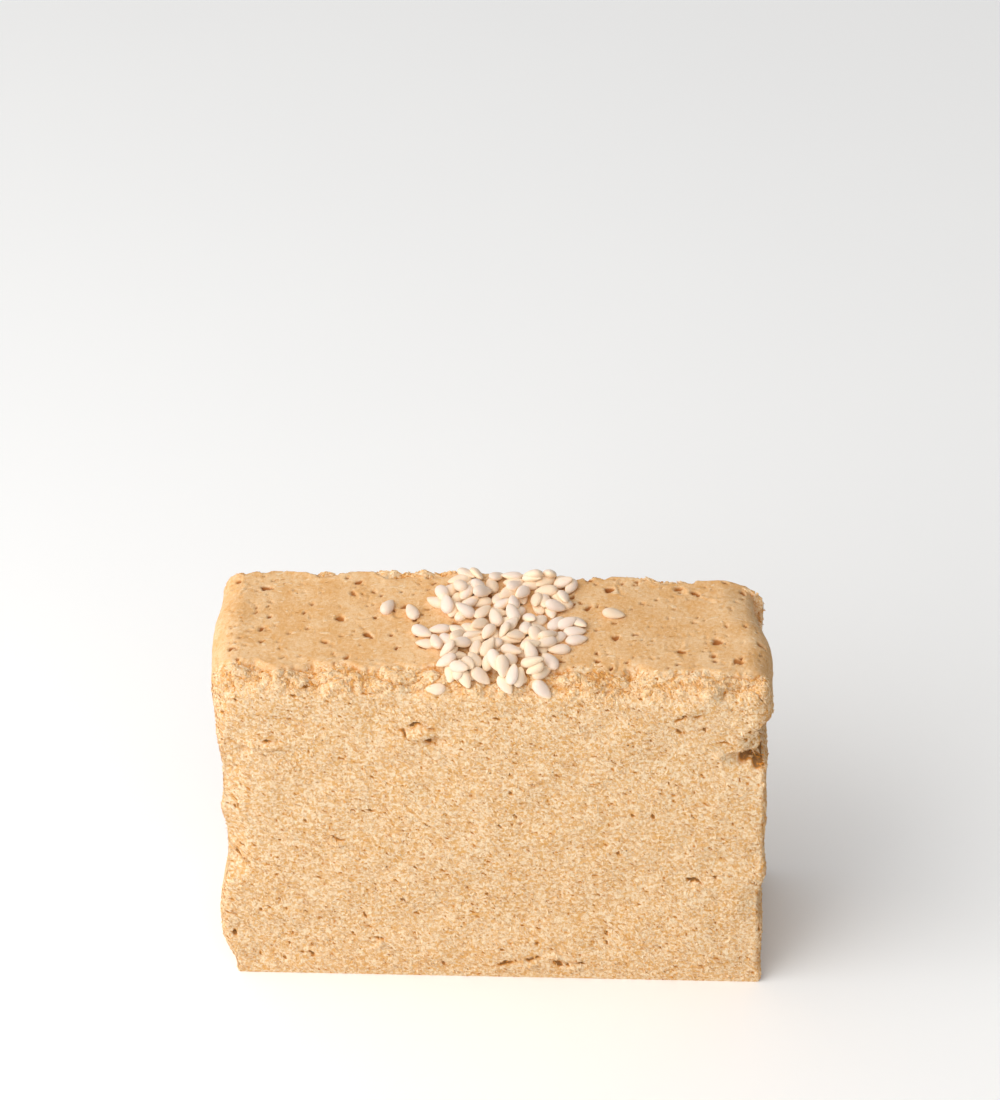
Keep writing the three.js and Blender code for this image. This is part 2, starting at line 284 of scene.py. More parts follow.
class Channel:
    """A number that changes over a surface. Arithmetic on it adds Math nodes."""

    def __init__(self, canvas: "Canvas", socket: Socket) -> None:
        """Wraps an output socket of a node on a canvas."""
        self.canvas = canvas
        self.socket = socket

    def _math(self, operation: str, *terms: Fed) -> "Channel":
        """Adds a Math node that works on terms."""
        inputs = dict(enumerate(terms))
        return self.canvas.channel("ShaderNodeMath", {"operation": operation}, inputs)

    def __add__(self, other: Fed) -> "Channel":
        """self + other."""
        return self._math("ADD", self, other)

    def __radd__(self, other: Fed) -> "Channel":
        """other + self."""
        return self._math("ADD", other, self)

    def __sub__(self, other: Fed) -> "Channel":
        """self - other."""
        return self._math("SUBTRACT", self, other)

    def __rsub__(self, other: Fed) -> "Channel":
        """other - self."""
        return self._math("SUBTRACT", other, self)

    def __mul__(self, other: Fed) -> "Channel":
        """self * other."""
        return self._math("MULTIPLY", self, other)

    def __rmul__(self, other: Fed) -> "Channel":
        """other * self."""
        return self._math("MULTIPLY", other, self)

    def carried(self, ends: Sequence[float], way: str = "LINEAR") -> "Channel":
        """Carries one range over to another.

        Args:
            ends: the lower and upper end of the first range, and what they become.
            way: how it goes between the ends, LINEAR or SMOOTHSTEP.

        Returns:
            The number in the second range.
        """
        inputs = dict(zip(("From Min", "From Max", "To Min", "To Max"), ends), Value=self)
        return self.canvas.channel("ShaderNodeMapRange", {"interpolation_type": way}, inputs)

    def rise(self, low: float, high: float) -> "Channel":
        """Rises smoothly from 0 at low to 1 at high, or falls if high is under low."""
        ends = (low, high, 0.0, 1.0) if low < high else (high, low, 1.0, 0.0)
        return self.carried(ends, "SMOOTHSTEP")


class Canvas:
    """The node tree of one material, or of the room, with one shader at its end."""

    def __init__(self, owner: bpy.types.ID, shader: str = "Principled BSDF") -> None:
        """Starts a tree that holds only its shader.

        Args:
            owner: the new material or world.
            shader: the name of its shader.
        """
        owner.use_nodes = True
        self.owner = owner
        self.nodes, self.links = owner.node_tree.nodes, owner.node_tree.links
        self.shader = self.nodes[shader]

    @cached_property
    def places(self) -> Socket:
        """The piece's own coordinates in millimetres.

        Returns:
            The socket with them.
        """
        where = self.node("ShaderNodeTexCoord").outputs["Object"]
        inputs = {"Vector": where, "Scale": 1 / MM}
        return self.node("ShaderNodeVectorMath", {"operation": "SCALE"}, inputs).outputs["Vector"]

    def node(
        self,
        kind: str,
        settings: dict[str, Any] | None = None,
        inputs: dict[str | int, Fed] | None = None,
    ) -> bpy.types.Node:
        """Adds a node.

        Args:
            kind: the node's type.
            settings: its own settings, with a ramp's stops as (place, colour) under "stops".
            inputs: a value, socket or Channel for each input, by its name or number.

        Returns:
            The node.
        """
        made = self.nodes.new(kind)
        for name, value in (settings or {}).items():
            if name == "stops":
                self._set_stops(made.color_ramp, value)
            else:
                setattr(made, name, value)
        for name, value in (inputs or {}).items():
            self.feed(made.inputs[name], value)
        return made

    @staticmethod
    def _set_stops(ramp: bpy.types.ColorRamp, stops: Sequence[tuple[float, Colour]]) -> None:
        """Gives a ramp its stops in place of the two that it comes with.

        Args:
            ramp: the ramp of a node.
            stops: place and colour of each, from low to high.
        """
        while len(ramp.elements) < len(stops):
            ramp.elements.new(1.0)
        for element, (place, colour) in zip(ramp.elements, stops):
            element.position = place
            element.color = (*colour, 1.0)

    def feed(self, socket: Socket, value: Fed) -> None:
        """Links a Channel or socket to an input, or sets the input to a value.

        Args:
            socket: the input.
            value: what it is to have.
        """
        if isinstance(value, Channel):
            value = value.socket
        if isinstance(value, Socket):
            self.links.new(value, socket)
        elif isinstance(value, tuple) and socket.type == "RGBA":
            socket.default_value = (*value, 1.0)
        else:
            socket.default_value = value

    def channel(
        self,
        kind: str,
        settings: dict[str, Any] | None = None,
        inputs: dict[str | int, Fed] | None = None,
        output: str | int = 0,
    ) -> Channel:
        """Adds a node and wraps one of its outputs."""
        return Channel(self, self.node(kind, settings, inputs).outputs[output])

    def mask(self, mask: Mask) -> Channel:
        """What the mesh says about each of its points."""
        return self.channel("ShaderNodeAttribute", {"attribute_name": mask.value}, output="Fac")

    def noise(self, grain: Noise) -> Channel:
        """Noise between about 0 and 1."""
        inputs = {"Scale": 1 / grain.size, "Detail": grain.detail, "Roughness": grain.rough}
        return self.channel("ShaderNodeTexNoise", {}, {"Vector": self.places, **inputs}, "Fac")

    def bent(self, cells: Cells) -> Socket:
        """The places in millimetres, turned, stretched and pushed about for cells.

        Args:
            cells: what the cells are like.

        Returns:
            The socket with the coordinates.
        """
        at = self.places
        if cells.stretch is not None:
            angles = (0, 0, math.radians(cells.turn))
            inputs = {"Vector": at, "Rotation": angles, "Scale": cells.stretch}
            made = self.node("ShaderNodeMapping", {"vector_type": "TEXTURE"}, inputs)
            at = made.outputs["Vector"]
        if cells.warp is not None:
            size, amount = cells.warp
            inputs = {"Vector": at, "Scale": 1 / size, "Detail": 1.0}
            push = self.node("ShaderNodeTexNoise", {}, inputs).outputs["Color"]
            inputs = {0: push, 1: (amount,) * 3, 2: at}
            made = self.node("ShaderNodeVectorMath", {"operation": "MULTIPLY_ADD"}, inputs)
            at = made.outputs["Vector"]
        return at

    def cells(self, cells: Cells) -> tuple[Channel, Channel]:
        """Divides the surface into cells.

        Args:
            cells: what they are like.

        Returns:
            The distance to a cell's middle as a share of the spacing, and a draw for each.
        """
        inputs = {"Vector": self.bent(cells), "Scale": 1 / cells.spacing}
        made = self.node("ShaderNodeTexVoronoi", {"feature": "F1"}, inputs)
        apart = self.node("ShaderNodeSeparateColor", {}, {"Color": made.outputs["Color"]})
        return Channel(self, made.outputs["Distance"]), Channel(self, apart.outputs["Red"])

    def spots(self, cells: Cells) -> Channel:
        """1 on the spots of the cells and 0 between them."""
        far, draw = self.cells(cells)
        return (draw * cells.growth - cells.least - far).rise(*cells.edge)

    def mix(self, share: Channel, first: Fed, second: Fed, kind: str = "RGBA") -> Socket:
        """Goes from a first colour or vector to a second one.

        Args:
            share: 0 for the first, 1 for the second.
            first, second: values or sockets.
            kind: RGBA for colours, VECTOR for vectors.

        Returns:
            The socket with the mixture.
        """
        made = self.node("ShaderNodeMix", {"data_type": kind}, {"Factor": share})
        ends = [socket for socket in made.inputs if socket.type == kind and socket.name in "AB"]
        self.feed(ends[0], first)
        self.feed(ends[1], second)
        return next(socket for socket in made.outputs if socket.type == kind)

    def layers(self, colour: Fed, *coats: tuple[Channel, Fed]) -> Socket:
        """Lays coats over a colour, in turn.

        Args:
            colour: what lies under them all.
            coats: for each, how much it covers and its colour.

        Returns:
            The socket with the colour on top.
        """
        for share, coat in coats:
            colour = self.mix(share, colour, coat)
        return colour

    def bump(self, height: Channel, depth: float) -> Socket:
        """The normal for relief finer than the mesh, of a depth in millimetres."""
        inputs = {"Height": height, "Distance": depth * MM, "Strength": 1.0}
        return self.node("ShaderNodeBump", {}, inputs).outputs["Normal"]

    def dress(self, **inputs: Fed) -> bpy.types.ID:
        """Gives the shader its inputs.

        Args:
            inputs: a value, socket or Channel for each, by its name with _ for spaces.

        Returns:
            The finished material or world.
        """
        for name, value in inputs.items():
            self.feed(self.shader.inputs[name.replace("_", " ")], value)
        return self.owner


# ------------------------------------------------------------------ finishes


@dataclass(frozen=True)
class HalvaFinish:
    """Pressed halva: granular broken crumb, and a smoother skin with pits, with brown painted
    shade in its pits, gaps, creases and caves and over its bare right end.
    """

    crumb: Colour = (0.790, 0.530, 0.285)
    crumb_pale: Colour = (0.920, 0.730, 0.500)
    crumb_tan: Colour = (0.710, 0.370, 0.110)
    rim_pale: Colour = (0.900, 0.690, 0.450)
    # painted shade: the brown laid in the crumb's gaps and creases and over the bare right end,
    # and in the small pits of the skin
    gap: Colour = (0.620, 0.240, 0.042)
    skin: Colour = (0.820, 0.530, 0.280)
    skin_pale: Colour = (0.890, 0.670, 0.430)
    skin_dark: Colour = (0.700, 0.340, 0.095)
    # painted shade: the brown laid in the skin's pits, wrinkle dips and under the seeds, and the
    # darker brown in the deepest crevices and caves
    painted_pit_shade: Colour = (0.390, 0.125, 0.022)
    painted_cave_shade: Colour = (0.300, 0.150, 0.055)
    speck: Colour = (0.160, 0.070, 0.030)
    crumb_roughness: float = 0.92
    skin_roughness: float = 0.60
    specular: float = 0.06
    glow_weight: float = 0.1
    glow_radius: Colour = (1.0, 0.85, 0.7)
    glow_scale: float = 0.3
    # the crumb, in which each coat covers what is under it over a range and by a share
    grain: Noise = Noise(0.5, 5, 0.8)
    cloud: Noise = Noise(6, 3)
    flakes: Cells = Cells(0.5, (0.4, 0.3))
    specks: Cells = Cells(2.2)
    crumb_range: Range = (0.42, 0.50)
    pale_range: Range = (0.50, 0.57)
    cloud_range: Range = (0.35, 0.7)
    cloud_share: float = 0.25
    flake_range: Range = (0.6, 0.95)
    flake_edge: Range = (0.8, 0.4)
    flake_share: float = 0.8
    flake_height: float = 0.3
    tan_range: Range = (0.3, 0.05)
    tan_share: float = 0.6
    rim_share: float = 0.4
    # over these ranges of painted shade the gap colour and then the cave colour cover the crumb
    gap_range: Range = (0.05, 0.8)
    cave_range: Range = (0.55, 1.2)
    speck_range: Range = (0.80, 0.82)
    speck_edge: Range = (0.09, 0.05)
    speck_share: float = 0.8
    crumb_bump: float = 0.12
    # the skin
    skin_grain: Noise = Noise(0.6, 6, 0.8)
    skin_cloud: Noise = Noise(4.5, 3)
    dots: Cells = Cells(0.6, (0.7, 0.7), (1.5, 0.9, 1.0), 12, 2.2, 1.85, (-0.04, 0.08))
    scrapes: Cells = Cells(0.7, (1.6, 1.6), (1.9, 0.8, 1.0), 10, 1.6, 1.2, (-0.05, 0.1))
    skin_range: Range = (0.35, 0.65)
    skin_share: float = 0.5
    skin_pale_range: Range = (0.50, 0.62)
    skin_pale_share: float = 0.5
    skin_dark_range: Range = (0.48, 0.38)
    skin_dark_share: float = 0.7
    scrape_share: float = 0.7
    scrape_height: float = 0.3
    # the skin's small pits take the gap colour as painted shade, and sink by the bump
    dot_share: float = 0.6
    dot_depth: float = 0.5
    # over this range of painted shade, and by this share, the pit colour covers the skin
    pit_range: Range = (0.1, 0.8)
    pit_share: float = 0.9
    skin_bump: float = 0.15

    def material(self) -> bpy.types.Material:
        """Builds the material.

        Returns:
            The material, which reads the masks skin, hollow and rim, and lays the hollow mask on
            as painted shade.
        """
        canvas = Canvas(bpy.data.materials.new("halva"))
        skin, hollow, rim = (canvas.mask(m) for m in (Mask.SKIN, Mask.PAINTED_SHADE_AND_GLOW, Mask.RIM))
        crumb_colour, crumb_normal = self._crumb(canvas, hollow, rim)
        skin_colour, skin_normal = self._skin(canvas, hollow)
        return canvas.dress(
            Base_Color=canvas.mix(skin, crumb_colour, skin_colour),
            Roughness=self.crumb_roughness + skin * (self.skin_roughness - self.crumb_roughness),
            Normal=canvas.mix(skin, crumb_normal, skin_normal, "VECTOR"),
            Specular_IOR_Level=self.specular,
            Subsurface_Weight=self.glow_weight,
            Subsurface_Radius=self.glow_radius,
            Subsurface_Scale=self.glow_scale * MM,
        )

    def _crumb(self, canvas: Canvas, hollow: Channel, rim: Channel) -> tuple[Socket, Socket]:
        """Dresses broken crumb: hard-edged flakes of three shades, with brown painted shade in its
        hollows and over the bare right end.

        Args:
            canvas: the material's tree.
            hollow: the painted shade of each point, by how deep it lies.
            rim: how near it is to a crumbly rim.

        Returns:
            The sockets with its colour and normal.
        """
        grain, cloud = canvas.noise(self.grain), canvas.noise(self.cloud)
        flake, flake_draw = canvas.cells(self.flakes)
        speck, speck_draw = canvas.cells(self.specks)
        pale = flake_draw.rise(*self.flake_range) * flake.rise(*self.flake_edge)
        specks = speck.rise(*self.speck_edge) * speck_draw.rise(*self.speck_range)
        colour = canvas.layers(
            self.crumb_tan,
            (grain.rise(*self.crumb_range), self.crumb),
            (grain.rise(*self.pale_range), self.crumb_pale),
            (cloud.rise(*self.cloud_range) * self.cloud_share, self.crumb_pale),
            (pale * self.flake_share, self.crumb_pale),
            (flake_draw.rise(*self.tan_range) * self.tan_share, self.crumb_tan),
            (rim * self.rim_share, self.rim_pale),
            # painted shade: gap colour in pits, gaps, creases and over the right end, cave colour
            # in the deepest crevices
            (hollow.rise(*self.gap_range), self.gap),
            (hollow.rise(*self.cave_range), self.painted_cave_shade),
            (specks * self.speck_share, self.speck),
        )
        return colour, canvas.bump(grain + self.flake_height * pale, self.crumb_bump)

    def _skin(self, canvas: Canvas, hollow: Channel) -> tuple[Socket, Socket]:
        """Dresses the pressed skin: clouded tan with pale scrapes, and its small pits and the
        mesh's pits in brown painted shade.

        Args:
            canvas: the material's tree.
            hollow: the painted shade of each point, by how deep it lies and how the seeds shelter
                it.

        Returns:
            The sockets with its colour and normal.
        """
        grain, cloud = canvas.noise(self.skin_grain), canvas.noise(self.skin_cloud)
        dots, scrapes = canvas.spots(self.dots), canvas.spots(self.scrapes)
        base = cloud.rise(*self.skin_range) * self.skin_share + (1 - self.skin_share)
        colour = canvas.layers(
            self.skin_dark,
            (base, self.skin),
            (grain.rise(*self.skin_pale_range) * self.skin_pale_share, self.skin_pale),
            (grain.rise(*self.skin_dark_range) * self.skin_dark_share, self.skin_dark),
            (scrapes * self.scrape_share, self.skin_pale),
            # painted shade: the gap colour in the small pits, and the pit colour in the mesh's
            # pits, wrinkle dips and under the seeds
            (dots * self.dot_share, self.gap),
            (hollow.rise(*self.pit_range) * self.pit_share, self.painted_pit_shade),
        )
        relief = grain + scrapes * self.scrape_height - dots * self.dot_depth
        return colour, canvas.bump(relief, self.skin_bump)


@dataclass(frozen=True)
class GrainFinish:
    """Slivers and crumbs of halva, each of its own shade, darkened by painted shade where they
    stand in a hollow.
    """

    name: str
    # deep is reached mostly where painted shade darkens a sliver or crumb in a hollow
    deep: Colour = (0.620, 0.240, 0.042)
    dark: Colour = (0.720, 0.385, 0.125)
    middle: Colour = (0.800, 0.540, 0.290)
    pale: Colour = (0.930, 0.750, 0.520)
    roughness: float = 0.85
    specular: float = 0.08
    stops: Sequence[float] = (0.0, 0.35, 0.6, 1.0)
    shade_range: Range = (0.3, 1.0)
    mottle: Noise = Noise(0.5)
    mottle_share: float = 0.4
    relief: Noise = Noise(0.3)
    bump_depth: float = 0.04

    def material(self) -> bpy.types.Material:
        """Builds the material.

        Returns:
            The material, which reads the mask shade.
        """
        canvas = Canvas(bpy.data.materials.new(self.name))
        stops = list(zip(self.stops, (self.deep, self.dark, self.middle, self.pale)))
        low, high = self.shade_range
        mottle = (canvas.noise(self.mottle) - 0.5) * self.mottle_share
        shade = canvas.mask(Mask.SHADE) * (high - low) + low + mottle
        colour = canvas.node("ShaderNodeValToRGB", {"stops": stops}, {"Fac": shade})
        return canvas.dress(
            Base_Color=colour.outputs["Color"],
            Roughness=self.roughness,
            Normal=canvas.bump(canvas.noise(self.relief), self.bump_depth),
            Specular_IOR_Level=self.specular,
        )


@dataclass(frozen=True)
class SeedFinish:
    """A hulled sesame seed: waxy, translucent cream with a warmer tip.

    Where a seed lies sheltered against others, its colour is painted warmer and brighter, a
    painted glow that stands in for light passing through the translucent seeds.
    """

    ivory: Colour = (0.830, 0.640, 0.460)
    cream: Colour = (0.845, 0.690, 0.585)
    tip: Colour = (0.800, 0.570, 0.350)
    # painted glow: the warmer, brighter colour of a seed where others shelter it
    painted_glow: Colour = (0.950, 0.740, 0.530)
    roughness: float = 0.42
    specular: float = 0.18
    glow_weight: float = 0.3
    glow_radius: Colour = (1.0, 0.9, 0.8)
    glow_scale: float = 0.25
    cloud: Noise = Noise(0.9, 3)
    cloud_share: float = 0.6
    shade_share: float = 0.7
    cream_range: Range = (0.2, 0.9)
    tip_range: Range = (0.8, 1.0)
    tip_share: float = 0.5
    streak: Noise = Noise(0.35)
    streak_roughness: float = 0.2
    bump_depth: float = 0.03

    def material(self) -> bpy.types.Material:
        """Builds the material.

        Returns:
            The material, which reads the masks shade, along and hollow, the last as its painted
            glow.
        """
        canvas = Canvas(bpy.data.materials.new("sesame"))
        shade, along = canvas.mask(Mask.SHADE), canvas.mask(Mask.ALONG)
        cloud, streak = canvas.noise(self.cloud), canvas.noise(self.streak)
        creamy = shade * self.shade_share + cloud * self.cloud_share
        colour = canvas.layers(
            self.ivory,
            (creamy.rise(*self.cream_range), self.cream),
            (along.rise(*self.tip_range) * self.tip_share, self.tip),
            # painted glow where the seed lies sheltered
            (canvas.mask(Mask.PAINTED_SHADE_AND_GLOW), self.painted_glow),
        )
        return canvas.dress(
            Base_Color=colour,
            Roughness=self.roughness + (streak - 0.5) * self.streak_roughness,
            Normal=canvas.bump(streak * 0.5 + cloud * 0.5, self.bump_depth),
            Specular_IOR_Level=self.specular,
            Subsurface_Weight=self.glow_weight,
            Subsurface_Radius=self.glow_radius,
            Subsurface_Scale=self.glow_scale * MM,
        )


@dataclass(frozen=True)
class FloorFinish:
    """A plain pale table top."""

    pale: Colour = (0.94, 0.94, 0.94)
    paler: Colour = (0.96, 0.96, 0.955)
    roughness: float = 0.7
    specular: float = 0.2
    cloud: Noise = Noise(60, 3)

    def material(self) -> bpy.types.Material:
        """Builds the material.

        Returns:
            The material.
        """
        canvas = Canvas(bpy.data.materials.new("floor"))
        return canvas.dress(
            Base_Color=canvas.mix(canvas.noise(self.cloud), self.pale, self.paler),
            Roughness=self.roughness,
            Specular_IOR_Level=self.specular,
        )


# ------------------------------------------------------------------ the slice's form


@dataclass(frozen=True)
class Form:
    """A rounded mound over a reach along X, Y and Z, or a hollow if its height is negative."""

    at: Triple
    reach: Triple
    height: float

    def over(self, places: Array) -> Array:
        """How high the form stands over each place."""
        square = (((places - self.at) / self.reach) ** 2).sum(axis=1)
        return self.height * np.maximum(0, 1 - square) ** 2


def ledge(x: float, z: float, half_x: float, half_z: float, height: float) -> Form:
    """A small flake on the front cut face, or a crevice if its height is negative."""
    return Form((x, FRONT, z), (half_x, LEDGE_REACH, half_z), height)


FORMS = (
    Form((-40, 3, 52), (6, 15, 12), 0.7),  # shoulder of the left side
    Form((-40, -8, 38), (5, 14, 9), -1.1),  # hollow under that shoulder
    Form((-40, -6, 25.5), (6, 16, 9), -2.6),  # waist of the left side
    Form((-40, -8, 13), (5, 9, 5), 0.5),  # bulge above the left foot
    Form((-40, 4, 13), (6, 14, 11), -1.8),  # hollow behind that bulge
    Form((40, 11, 54), (8, 15, 13), -2.2),  # right shoulder, pressed in at the back
    Form((40, -8, 47), (5, 12, 5), -3.3),  # notch of the right side
    Form((40, -9, 52), (5, 7, 2.6), 0.4),  # lip over the notch
    Form((40, -3, 26), (5, 14, 5), -1.1),  # dent of the right side
    Form((40, 3, 34), (5, 14, 12), -1.5),  # the same dent, rising to the back
    Form((40, -5, 16), (5, 16, 7), -1.6),  # dent near the right foot
    ledge(36.3, 44.2, 3.2, 1.9, -1.5),  # torn hollow by the notch
    ledge(-10.4, 48.2, 2.9, 1.4, 0.9),  # flake standing on the front
    ledge(-8.2, 46.8, 2.3, 1.1, -0.8),  # hollow under that flake
    ledge(-32, 45.4, 3.4, 1.3, 0.6),  # flake at the left
    ledge(-35.8, 44.6, 1.6, 1.4, -0.7),  # pit beside it
    ledge(28, 53.6, 3.2, 1.6, 0.6),  # flake under the front rim
    Form((36, -10.6, 57), (3.4, 4, 2.6), -0.9),  # scoop out of the front rim
    Form((-27, -9.5, 58), (3.6, 2.4, 2.4), -0.6),  # skin lifted off the rim
    Form((19, -9, 58), (4.2, 2.2, 2.4), -0.6),  # the same, right of the seeds
    Form((11, 12.5, 57.5), (3, 2.4, 2.4), -0.7),  # nick in the back rim
    Form((25, 12.5, 57.5), (4, 2, 2.2), -0.8),  # wider nick beside it
)


@dataclass
class SliceForm:
    """The slice's surface: a block with rounded edges, pushed in and out by its relief."""

    width: float = 80
    thickness: float = 25
    height: float = 58
    corner_radius: float = 3.8
    foot_radius: float = 0.5
    foot_draw: float = 1.8  # how far the left side is drawn in at its foot
    foot_draw_reach: Range = (1.5, 8)  # heights between which that ends
    front_rim_radius: float = 3.4
    back_rim_radius: float = 0.9
    upright_edge_radius: float = 1.1
    rim_blend: Range = (44, 55)  # heights between which upright edges become rims
    foot_blend: Range = (0.8, 5)  # heights between which the relief begins
    swell: Swings = Swings(0.4, 15, 0)
    side_swell: Swings = Swings(0.6, 8, 7)
    lump: Swings = Swings(0.22, 4.2, 3)
    crag: Swings = Swings(0.9, 2.8, 31)
    crag_lean: float = 0.2  # how far crags lean inward, as a share of their depth
    crag_reach: Range = (2.5, 6.5)  # distances from the edge between which they end
    crag_drop: float = 1.8  # how much sooner they end downward
    skin_thickness: float = 0.3
    front_skin_gap: float = 4.0  # bare width along the front of the top
    back_skin_gap: float = 0.7
    upright_skin_gap: float = 1.3  # bare width down the ends
    skin_wander: Swings = Swings(1.2, 5, 11)
    skin_softness: float = 0.5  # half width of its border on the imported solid
    slope_step: float = 0.001  # half the distance over which slopes are measured
    settle_rounds: int = 6
    drop_start: float = 1.0  # height over the slice where the search for its top starts
    drop_rounds: int = 14
    forms: Sequence[Form] = FORMS

    @staticmethod
    def rounded_meet(a: Array, b: Array, radius: Array | float) -> Array:
        """Distance to the body that two distances share, with their common edge rounded."""
        outside = np.hypot(np.maximum(radius + a, 0), np.maximum(radius + b, 0))
        return np.minimum(np.maximum(a, b), -radius) + outside

    def cut_edge_radius(self, places: Array) -> Array:
        """Radius of the edge between a cut face and the skin.

        Args:
            places: points in millimetres.

        Returns:
            Millimetres, at the height of each place.
        """
        _, y, z = places.T
        rim = np.where(y < 0, self.front_rim_radius, self.back_rim_radius)
        towards_foot = 1 - smooth_step(*self.foot_blend, z)
        upright, foot = self.upright_edge_radius, self.foot_radius
        upright = upright + (foot - upright) * towards_foot
        return upright + (rim - upright) * smooth_step(*self.rim_blend, z)

    def plain_distance(self, places: Array) -> Array:
        """Distance outside the block with rounded edges and no relief.

        Args:
            places: points in millimetres.

        Returns:
            Millimetres for each place, under 0 inside the block.
        """
        x, y, z = places.T
        draw = self.foot_draw * (1 - smooth_step(*self.foot_draw_reach, z))
        side = np.abs(x) - self.width / 2 + np.where(x < 0, draw, 0)
        skin = self.rounded_meet(side, z - self.height, self.corner_radius)
        loaf = self.rounded_meet(skin, -z, self.foot_radius)
        cut = np.abs(y) - self.thickness / 2
        return self.rounded_meet(loaf, cut, self.cut_edge_radius(places))

    def outward(self, places: Array) -> Array:
        """The way the block's surface faces.

        Args:
            places: points in millimetres.

        Returns:
            A vector of length 1 for each place.
        """
        steps = np.eye(3) * self.slope_step
        far = self.plain_distance
        slope = np.stack([far(places + step) - far(places - step) for step in steps], axis=1)
        return slope / np.linalg.norm(slope, axis=1, keepdims=True)

    def skin_margin(self, places: Array, fray: Array | float = 0) -> Array:
        """How far inside the skin's border each place is.

        Args:
            places: points in millimetres.
            fray: a further wander of the border, in millimetres.

        Returns:
            Millimetres for each place, under 0 where the skin is gone.
        """
        _, y, z = places.T
        top = np.where(y < 0, self.front_skin_gap, self.back_skin_gap)
        towards_top = smooth_step(*self.rim_blend, z)
        gap = self.upright_skin_gap + (top - self.upright_skin_gap) * towards_top
        return self.thickness / 2 - np.abs(y) - gap - (self.skin_wander.over(places) + fray)

    def bareness(self, places: Array) -> Array:
        """0 on skin and 1 on broken crumb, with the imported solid's soft border."""
        return 1 - smooth_step(-self.skin_softness, self.skin_softness, self.skin_margin(places))

    def rim_nearness(self, places: Array) -> Array:
        """How near each place is to the upper edges of the cuts.

        Args:
            places: points in millimetres.

        Returns:
            1 at the edges and 0 away from them.
        """
        _, y, z = places.T
        across, down = np.abs(y) - self.thickness / 2, self.crag_drop * (z - self.height)
        return 1 - smooth_step(*self.crag_reach, np.hypot(across, down))

    def broken_rim(self, places: Array, bare: Array) -> Array:
        """Relief of the crumbly rims where the skin is gone."""
        crag = self.crag.over(places) - self.crag.depth * self.crag_lean
        return self.rim_nearness(places) * bare * (crag - self.skin_thickness)

    def relief(self, places: Array, facing: Array, bare: Array | None = None) -> Array:
        """Height of the main relief over the plain surface.

        Args:
            places: points on the plain surface.
            facing: the way it faces there.
            bare: how bare of skin it is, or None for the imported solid's softer border.

        Returns:
            Millimetres outward, for each place.
        """
        if bare is None:
            bare = self.bareness(places)
        height = self.swell.over(places) + self.broken_rim(places, bare)
        height += self.side_swell.over(places) * np.abs(facing[:, 0])
        height += self.lump.over(places) * np.abs(facing[:, 1])
        height += sum(form.over(places) for form in self.forms)
        return height * smooth_step(*self.foot_blend, places[:, 2])

    def settle(self, places: Array) -> Array:
        """Moves points of the plain box onto the block with rounded edges.

        Args:
            places: the points in millimetres.

        Returns:
            Their places on the block.
        """
        for _ in range(self.settle_rounds):
            places = places - self.plain_distance(places)[:, None] * self.outward(places)
        return places

    def top_height(self, x: Array, y: Array) -> Array:
        """Height of the slice's top.

        Args:
            x, y: places on the floor under it, in millimetres.

        Returns:
            Millimetres for each place.
        """
        z = np.full(len(x), self.height + self.drop_start)
        for _ in range(self.drop_rounds):
            places = np.stack([x, y, z], axis=1)
            gap = self.plain_distance(places) - self.relief(places, self.outward(places))
            z = z - gap
        return z


# ------------------------------------------------------------------ the slice


@dataclass(frozen=True)
class PitPattern:
    """Small pits strewn over a plane, one or none to each cell of a square grid."""

    cell: float  # millimetres across
    presence: float  # share of the cells that have a pit
    half_length: Range  # in millimetres
    slimness: Range  # width as a share of the length
    depth: Range  # in millimetres
    heading: float  # of the pits' length, in radians from the plane's first axis
    spread: float  # how far they may turn from it to either side
    start: int  # sets the draws apart from another pattern's
    wander: float = 0.8  # how far a pit may stray over its cell
    taper: float = 0.5  # how much slimmer one end is
    fullness: float = 1.3  # over 1 for a flat floor

    def over(self, u: Array, v: Array) -> Array:
        """How deep the pits are at each place.

        Args:
            u: places along the plane's first axis, in millimetres.
            v: places along its second axis.

        Returns:
            Millimetres, for each place.
        """
        deepest = np.zeros(len(u))
        ranges = (self.half_length, self.slimness, self.depth)
        column, row = (np.floor(w / self.cell).astype(np.int64) for w in (u, v))
        for step_u, step_v in product((-1, 0, 1), repeat=2):
            i, j = column + step_u, row + step_v
            draws = [lattice_value(i, j, np.full_like(i, self.start + n)) / 2 for n in range(7)]
            present, turn, stray_u, stray_v = draws[0] + 0.5 < self.presence, *draws[1:4]
            du = u - (i + 0.5 + self.wander * stray_u) * self.cell
            dv = v - (j + 0.5 + self.wander * stray_v) * self.cell
            angle = self.heading + 2 * self.spread * turn
            half_length, slimness, depth = (
                low + (high - low) * (share + 0.5) ** 2
                for (low, high), share in zip(ranges, draws[4:])
            )
            along = (du * np.cos(angle) + dv * np.sin(angle)) / half_length
            across = (dv * np.cos(angle) - du * np.sin(angle)) / (half_length * slimness)
            across = across * (1 + self.taper * along)
            hole = depth * np.clip(self.fullness * (1 - along**2 - across**2), 0, 1)
            deepest = np.maximum(deepest, np.where(present, hole, 0))
        return deepest


@dataclass
class Cover:
    """What covers the slice at each of its points."""

    margin: Array  # how far inside the skin's border it is, in millimetres
    bare: Array  # 0 on skin and 1 on broken crumb
    rim: Array  # how near it is to an upper edge
    ledges: Array  # relief of the small flakes and crevices
    fine: Array  # all of its fine relief
    hollow: Array  # the painted shade of its pits, gaps, creases and wrinkle dips, by their depth


@dataclass
class Ground:
    """The slice's surface, for what stands on it."""

    points: Array
    facing: Array
    skin: Array
    rim: Array
    # painted shade of each point
    hollow: Array


